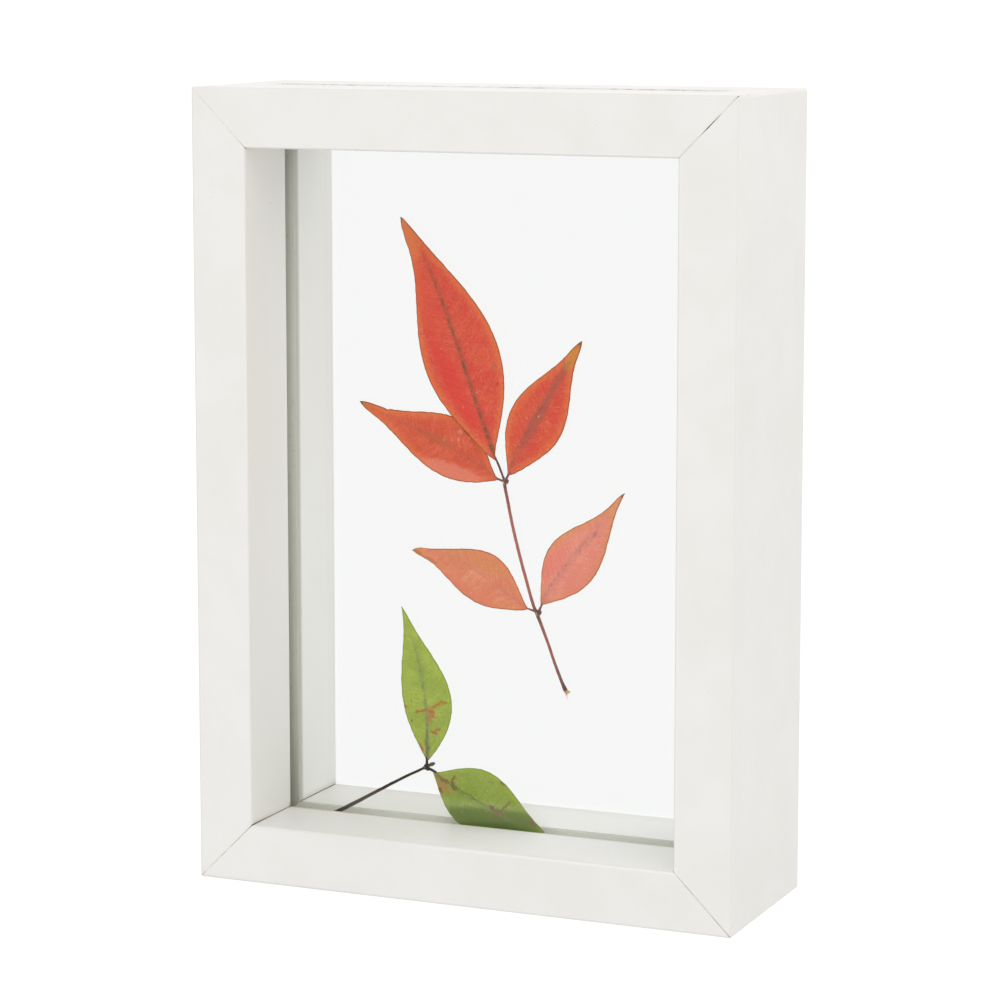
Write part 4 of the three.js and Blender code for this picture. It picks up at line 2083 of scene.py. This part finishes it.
BRICK = srgb(233, 86, 58)
BRICK_RICH = srgb(230, 70, 52)
ORANGE = srgb(243, 122, 60)
OLIVE_ORANGE = srgb(205, 128, 52)
YELLOW_GREEN = srgb(178, 194, 76)
MID_GREEN = srgb(158, 178, 70)
DEEP_GREEN = srgb(84, 112, 4)
RUST = srgb(186, 104, 62)
DARK_RUST = srgb(132, 78, 50)
PURPLE_RUST = srgb(146, 88, 68)
OLIVE_GREY = srgb(98, 76, 46)
GREEN_GREY = srgb(122, 128, 72)
BROWN_RIM = srgb(158, 82, 32)
MAUVE = srgb(168, 104, 92)
PALE_FLECK = srgb(236, 172, 146)
DARK_POINT = srgb(78, 66, 56)


def red_blade(name: str, spots: tuple[Spot, ...], **changes: object) -> LeafBlade:
    """The red leaflets' skin, with the changes that one leaflet needs.

    Args:
        name: The finish's name.
        spots: The leaflet's own patches.
        changes: Values that differ from the common ones.

    Returns:
        The finish.
    """
    common = {
        "body": BRICK, "rich": BRICK_RICH, "margin": ORANGE, "margin_width": 2.4, "tip": OLIVE_ORANGE,
        "tip_from": 0.88, "base": srgb(222, 96, 70), "base_to": 0.1, "streak": srgb(246, 130, 98),
        "streak_strength": 0.34, "midrib": OLIVE_GREY, "midrib_half": 0.34, "halo": MAUVE, "halo_half": 1.4,
        "halo_strength": 0.4, "rim": BROWN_RIM, "rim_strength": 0.85, "fleck": PALE_FLECK,
        "dark": srgb(192, 62, 44), "glow": srgb(245, 110, 70),
    }
    return LeafBlade(name=name, spots=spots, **(common | changes))


def green_blade(name: str, spots: tuple[Spot, ...], **changes: object) -> LeafBlade:
    """The green leaflets' skin, with the changes that one leaflet needs.

    Args:
        name: The finish's name.
        spots: The leaflet's own blotches.
        changes: Values that differ from the common ones.

    Returns:
        The finish.
    """
    common = {
        "body": YELLOW_GREEN, "rich": MID_GREEN, "margin": srgb(172, 188, 64), "margin_width": 1.4,
        "tip": srgb(176, 192, 66), "tip_from": 0.86, "base": srgb(184, 178, 88), "base_to": 0.08,
        "streak": srgb(196, 208, 108), "streak_strength": 0.3, "midrib": GREEN_GREY, "midrib_half": 0.3,
        "halo": srgb(150, 158, 84), "halo_half": 0.8, "halo_strength": 0.5, "rim": srgb(112, 128, 44),
        "rim_strength": 0.6, "fleck": srgb(204, 212, 128), "dark": srgb(122, 150, 56),
        "glow": srgb(190, 210, 70), "grit": 0.34, "rib_strength": 0.6,
    }
    return LeafBlade(name=name, spots=spots, **(common | changes))


def red_leaflets() -> tuple[Leaflet, ...]:
    """Lists the red sprig's five leaflets.

    Returns:
        The leaflets.
    """
    terminal = red_blade("red_leaf_terminal", (
        Spot(19.0, 2.6, 13.0, 2.4, srgb(236, 58, 52), 0.6, 4.0),
        Spot(38.0, 1.6, 9.0, 3.0, srgb(236, 86, 60), 0.5),
        Spot(51.0, -0.5, 4.5, 1.8, srgb(238, 134, 74), 0.7),
        Spot(19.1, -8.0, 0.6, 0.6, srgb(142, 104, 84), 0.7),
        Spot(19.1, -8.0, 0.3, 0.3, srgb(222, 130, 104), 0.8),
        Spot(15.5, -7.2, 0.3, 0.3, srgb(140, 66, 50), 0.7),
        Spot(56.8, 0.0, 0.9, 0.5, DARK_POINT, 0.95),
    ), midrib=srgb(114, 86, 54), midrib_half=0.48, halo=srgb(176, 84, 62), halo_half=1.1, halo_strength=0.55,
        rib_strength=0.9, tip=srgb(230, 136, 74))
    upper_left = red_blade("red_leaf_upper_left", (
        Spot(17.0, -1.2, 4.4, 1.3, srgb(206, 98, 58), 0.7, 8.0),
        Spot(11.0, 3.6, 9.0, 1.9, srgb(243, 142, 116), 0.75, 10.0),
        Spot(12.8, -5.2, 0.6, 0.4, PALE_FLECK, 0.45),
        Spot(12.4, -3.3, 0.5, 0.4, PALE_FLECK, 0.4),
        # Painted shadow: a dark line where the terminal leaflet's margin overlaps this leaflet.
        Spot(11.0, -6.1, 6.6, 0.5, srgb(132, 58, 36), 0.9, -18.5),
        Spot(36.6, 0.0, 0.8, 0.5, srgb(120, 96, 60), 0.8),
    ), body=srgb(230, 98, 62), rich=srgb(222, 84, 50), halo_strength=0.15, rib_strength=0.12)
    upper_right = red_blade("red_leaf_upper_right", (
        Spot(14.0, 0.4, 7.5, 1.4, srgb(178, 88, 68), 0.55),
        Spot(23.5, 0.5, 5.0, 1.1, srgb(184, 90, 70), 0.5),
        Spot(30.6, -0.1, 3.2, 1.6, srgb(226, 148, 62), 0.85),
        Spot(28.2, 0.3, 1.8, 0.8, srgb(186, 122, 70), 0.45),
        Spot(15.4, 0.3, 0.4, 0.3, PALE_FLECK, 0.8),
        Spot(34.5, 0.0, 0.8, 0.5, srgb(110, 92, 72), 0.95),
    ), body=srgb(232, 88, 52), tip_from=0.84, halo_half=2.2, halo_strength=0.28, rib_strength=0.4,
        midrib=srgb(132, 72, 58))
    lower_left = red_blade("pink_leaf_lower_left", (
        Spot(15.0, -4.4, 10.0, 2.4, srgb(232, 148, 98), 0.8, 8.0),
        Spot(15.0, 3.4, 10.5, 2.4, srgb(238, 134, 108), 0.7, -6.0),
        Spot(12.1, -1.8, 2.6, 1.0, srgb(242, 168, 128), 0.4, 10.0),
        Spot(14.7, -2.0, 1.4, 0.5, srgb(240, 176, 148), 0.4, 30.0),
        Spot(6.8, 0.8, 2.0, 0.2, srgb(246, 176, 152), 0.55, 12.0),
        Spot(25.1, -0.3, 1.6, 0.3, srgb(176, 108, 70), 0.6),
        Spot(28.9, -0.1, 1.6, 0.9, srgb(206, 124, 62), 0.8),
    ), body=srgb(238, 146, 106), rich=srgb(234, 132, 98), margin=srgb(238, 142, 86),
        midrib=srgb(190, 110, 80), halo=srgb(232, 140, 116), rim=srgb(176, 98, 52),
        glow=srgb(240, 150, 110), tip=srgb(224, 150, 84), streak=srgb(247, 178, 146),
        fleck=srgb(250, 200, 176), dark=srgb(216, 112, 84), rib_strength=0.25, grit=0.3)
    lower_right = red_blade("pink_leaf_lower_right", (
        Spot(9.7, 3.4, 7.0, 2.2, srgb(246, 138, 122), 0.7),
        Spot(12.0, -3.2, 8.0, 2.4, srgb(244, 142, 122), 0.6),
        Spot(17.0, 5.6, 6.0, 1.0, srgb(242, 164, 104), 0.7, -14.0),
        Spot(28.8, -0.3, 3.6, 1.2, srgb(242, 166, 116), 0.8),
        Spot(20.8, -0.1, 1.2, 0.5, srgb(188, 120, 118), 0.6),
        Spot(15.8, 0.4, 0.6, 0.35, srgb(188, 118, 112), 0.6),
        Spot(11.2, 0.9, 0.35, 0.25, srgb(150, 100, 96), 0.75),
        Spot(8.6, 1.1, 0.4, 0.2, srgb(172, 108, 100), 0.7),
        Spot(5.4, 1.1, 0.6, 0.2, srgb(166, 104, 96), 0.7),
        Spot(32.2, 0.0, 0.9, 0.5, DARK_POINT, 0.95),
    ), body=srgb(249, 156, 134), rich=srgb(247, 144, 124), margin=srgb(238, 148, 90),
        midrib=srgb(168, 112, 96), halo=srgb(214, 134, 124), rim=srgb(182, 104, 58),
        glow=srgb(242, 150, 118), tip=srgb(240, 166, 112), streak=srgb(250, 184, 162),
        fleck=srgb(250, 204, 186), dark=srgb(232, 122, 104), rib_strength=0.3, grit=0.3,
        halo_half=1.6)
    return (
        Leaflet(
            "red_sprig_terminal_leaflet", (0.2, 94.2), 57.2, 113.7, -2.1, 0.74, -1,
            HalfBlade(9.13, 0.426, 3.58, 1.7, 0.95), HalfBlade(9.15, 0.402, 3.17, 0.1, -0.5),
            terminal, "red_leaf", wave=0.06, veins=17, midrib=0.16, seed=3,
        ),
        Leaflet(
            "red_sprig_upper_left_leaflet", (0.7, 90.0), 37.1, 155.1, -0.9, 0.4, 1,
            HalfBlade(6.62, 0.38, 2.93, 0.76, 0.1), HalfBlade(6.7, 0.37, 3.94, 0.68, -0.45),
            upper_left, "red_leaf", wave=0.06, nick_at=0.82, nick_depth=0.22, veins=12, midrib=0.09, seed=5,
        ),
        Leaflet(
            "red_sprig_upper_right_leaflet", (2.7, 91.0), 34.9, 60.2, 0.8, 0.3, 0,
            HalfBlade(5.88, 0.41, 3.52, 0.75, -0.1), HalfBlade(6.85, 0.397, 3.62, 0.61, 0.82),
            upper_right, "red_leaf", veins=12, midrib=0.1, seed=8,
        ),
        Leaflet(
            "red_sprig_lower_left_leaflet", (7.8, 62.1), 30.1, 158.8, -3.0, 0.68, 0,
            HalfBlade(6.43, 0.462, 3.04, 1.25, 0.54), HalfBlade(5.47, 0.363, 4.53, -0.2, 0.07),
            lower_left, "pink_leaf", veins=11, midrib=0.09, seed=13,
        ),
        Leaflet(
            "red_sprig_lower_right_leaflet", (10.6, 62.9), 32.5, 53.3, 1.0, 0.3, 0,
            HalfBlade(5.33, 0.384, 4.53, 0.56, 0.29), HalfBlade(6.55, 0.388, 3.13, 0.25, 0.19),
            lower_right, "pink_leaf", veins=11, midrib=0.1, seed=21,
        ),
    )


def green_leaflets() -> tuple[Leaflet, ...]:
    """Lists the green sprig's two leaflets.

    Returns:
        The leaflets.
    """
    upright = green_blade("green_leaf_upright", (
        Spot(12.4, -4.4, 0.5, 1.6, RUST, 0.75, 18.0),
        Spot(12.9, -6.4, 0.4, 1.5, RUST, 0.7, -8.0),
        Spot(10.9, -3.0, 1.6, 1.2, srgb(200, 128, 76), 0.75, 20.0),
        Spot(9.6, -2.3, 1.1, 0.9, srgb(196, 124, 74), 0.65),
        Spot(11.4, -2.7, 1.3, 0.25, RUST, 0.8, 62.0),
        Spot(10.2, -3.3, 1.2, 0.2, RUST, 0.7, 35.0),
        Spot(11.6, -0.6, 0.36, 1.6, RUST, 0.8, 8.0),
        Spot(12.9, 2.9, 0.7, 0.35, RUST, 0.8, 20.0),
        Spot(6.5, -3.0, 1.2, 0.4, RUST, 0.85, 52.0),
        Spot(7.0, -3.8, 0.4, 0.9, RUST, 0.8, 10.0),
        Spot(9.5, 1.9, 0.35, 0.25, DARK_RUST, 0.85),
        Spot(13.9, 1.2, 0.3, 0.25, DARK_RUST, 0.7),
        Spot(3.6, 0.7, 1.3, 0.4, srgb(198, 118, 60), 0.85, 10.0),
        Spot(3.2, -0.65, 4.4, 0.5, srgb(122, 98, 90), 0.7, -10.0),
    ), midrib=srgb(120, 122, 90), halo=srgb(140, 146, 98))
    lower = green_blade("green_leaf_lower", (
        Spot(18.2, -1.8, 18.0, 2.3, srgb(98, 124, 4), 0.92, 24.8),
        Spot(19.5, -4.8, 16.0, 2.4, DEEP_GREEN, 0.9, 24.8),
        Spot(3.4, -1.8, 3.2, 1.3, srgb(190, 146, 78), 0.85, -16.0),
        Spot(3.7, -3.0, 0.9, 0.35, DARK_RUST, 0.85, -40.0),
        Spot(5.6, -0.4, 1.3, 0.35, PURPLE_RUST, 0.9, -64.0),
        Spot(5.3, 1.1, 0.9, 0.25, PURPLE_RUST, 0.85, 80.0),
        Spot(6.3, -1.2, 0.5, 0.3, DARK_RUST, 0.8, -50.0),
        Spot(4.0, -0.5, 3.2, 0.28, PURPLE_RUST, 0.85, -6.0),
        Spot(17.8, -0.8, 1.1, 0.8, srgb(138, 80, 64), 0.9),
        Spot(16.5, -0.5, 1.7, 0.45, DARK_RUST, 0.9, -10.0),
        Spot(18.6, 1.1, 2.5, 0.3, srgb(138, 90, 56), 0.9, 70.0),
        Spot(17.5, -2.4, 1.4, 0.25, PURPLE_RUST, 0.7, 84.0),
        Spot(18.9, -1.6, 1.2, 0.3, PURPLE_RUST, 0.8, -50.0),
        Spot(16.1, 5.7, 0.8, 0.35, PURPLE_RUST, 0.8, -20.0),
        Spot(13.6, 4.8, 0.8, 0.12, DARK_RUST, 0.7, 20.0),
        Spot(25.8, 1.6, 1.5, 0.4, srgb(146, 84, 50), 0.85, -30.0),
        Spot(20.0, -7.4, 14.0, 0.5, srgb(84, 112, 22), 0.6, 24.0),
        Spot(10.5, -0.6, 7.0, 0.16, srgb(92, 96, 48), 0.7),
    ), body=srgb(158, 176, 74), rich=srgb(144, 166, 60), midrib=srgb(104, 96, 58), halo_strength=0.4)
    return (
        Leaflet(
            "green_sprig_upright_leaflet", (-16.7, 25.7), 35.3, 100.0, -2.0, 0.5, 0,
            HalfBlade(5.32, 0.425, 2.95, 0.23, 0.06), HalfBlade(6.51, 0.37, 3.1, 0.35, 0.19),
            upright, "green_leaf", veins=12, midrib=0.14, seed=34,
        ),
        Leaflet(
            "green_sprig_lower_leaflet", (-15.4, 24.0), 30.3, -24.8, -1.0, 0.3, 0,
            HalfBlade(7.48, 0.423, 3.12, 0.94, -0.19), HalfBlade(6.95, 0.403, 3.2, 0.0, -0.12),
            lower, "green_leaf", veins=11, midrib=0.12, seed=55,
        ),
    )


# ---- studio


@dataclass(frozen=True)
class Lamp:
    """A square lamp that shines at the middle of the frame."""

    name: str
    at: tuple[float, float, float]
    size: float
    power: float

    def hang(self, target: Vector) -> None:
        """Hangs the lamp.

        Args:
            target: The point that it shines at.
        """
        light = bpy.data.lights.new(self.name, "AREA")
        light.shape = "SQUARE"
        light.size = self.size
        light.energy = self.power
        lamp = bpy.data.objects.new(self.name, light)
        lamp.location = self.at
        lamp.rotation_euler = (target - Vector(self.at)).to_track_quat("-Z", "Y").to_euler()
        bpy.context.scene.collection.objects.link(lamp)


@dataclass
class Studio:
    """The camera, the white table, the even sky, a soft lamp overhead and a weaker one from the right."""

    camera_at: tuple[float, float, float] = (294.12, -681.07, 202.10)
    tilt: float = 81.90
    turn: float = 23.315
    lens: float = 124.1
    film: float = 36.0
    shift: float = -0.05
    table_size: float = 40.0
    sky: Colour = (1.0, 1.0, 1.0, 1.0)
    sky_strength: float = 1.02
    lamps: tuple[Lamp, ...] = (
        Lamp("overhead_lamp", (0.5, -0.6, 1.3), 1.2, 3.6),
        Lamp("side_lamp", (1.6, 0.3, 0.35), 0.7, 1.3),
    )
    aim: tuple[float, float, float] = (0.0, 0.0, 0.0875)

    def build(self) -> None:
        """Builds the camera and the light, and marks the table as no part of the object."""
        self._camera()
        self._table()
        self._light()

    def _camera(self) -> None:
        """Sets the camera up."""
        lens = bpy.data.cameras.new("camera")
        lens.lens = self.lens
        lens.sensor_width = self.film
        lens.sensor_fit = "HORIZONTAL"
        lens.shift_y = self.shift
        lens.clip_start = 0.01
        lens.clip_end = 200.0
        camera = bpy.data.objects.new("camera", lens)
        camera.location = Vector(self.camera_at) * MM
        camera.rotation_euler = (math.radians(self.tilt), 0.0, math.radians(self.turn))
        bpy.context.scene.collection.objects.link(camera)
        bpy.context.scene.camera = camera

    def _table(self) -> None:
        """Lays the white table just under the frame."""
        half = self.table_size / 2.0
        below = -0.05 * MM
        mesh = bpy.data.meshes.new("white_table")
        corners = [(-half, -half, below), (half, -half, below), (half, half, below), (-half, half, below)]
        mesh.from_pydata(corners, [], [(0, 1, 2, 3)])
        mesh.materials.append(PaleFloor("white_table").material())
        table = bpy.data.objects.new("white_table", mesh)
        bpy.context.scene.collection.objects.link(table)
        table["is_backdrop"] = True

    def _light(self) -> None:
        """Lights the sky evenly and hangs the lamps."""
        scene = bpy.context.scene
        scene.world = bpy.data.worlds.new("even_sky")
        scene.world.use_nodes = True
        sky = Tree(scene.world.node_tree)
        sky.group.nodes.clear()
        glow = sky.add("ShaderNodeBackground", None, {"Color": self.sky, "Strength": self.sky_strength})
        sky.add("ShaderNodeOutputWorld", None, {"Surface": glow})
        for lamp in self.lamps:
            lamp.hang(Vector(self.aim))
        scene.view_settings.view_transform = "Standard"


# ---- the whole


def main() -> None:
    """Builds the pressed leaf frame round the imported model."""
    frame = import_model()
    logging.basicConfig(level=logging.INFO, format="%(message)s")
    LOG.info("packed nodes: %d", len(frame["nodes"]))
    sizes = FrameSizes.from_model()
    Studio().build()
    WoodFrame(sizes).build()
    GlassPair().build()
    Foliage(red_leaflets() + green_leaflets()).build()
    twig = TwigRecipe()
    Stem("red_sprig_stem", "red_stem", RED_BARK, red_strands(), seed=2, plump=1.35).build(twig)
    Stem("green_sprig_stem", "green_stem", GREEN_BARK, green_strands(), seed=4, plump=1.75).build(twig)


if __name__ == "__main__":
    main()
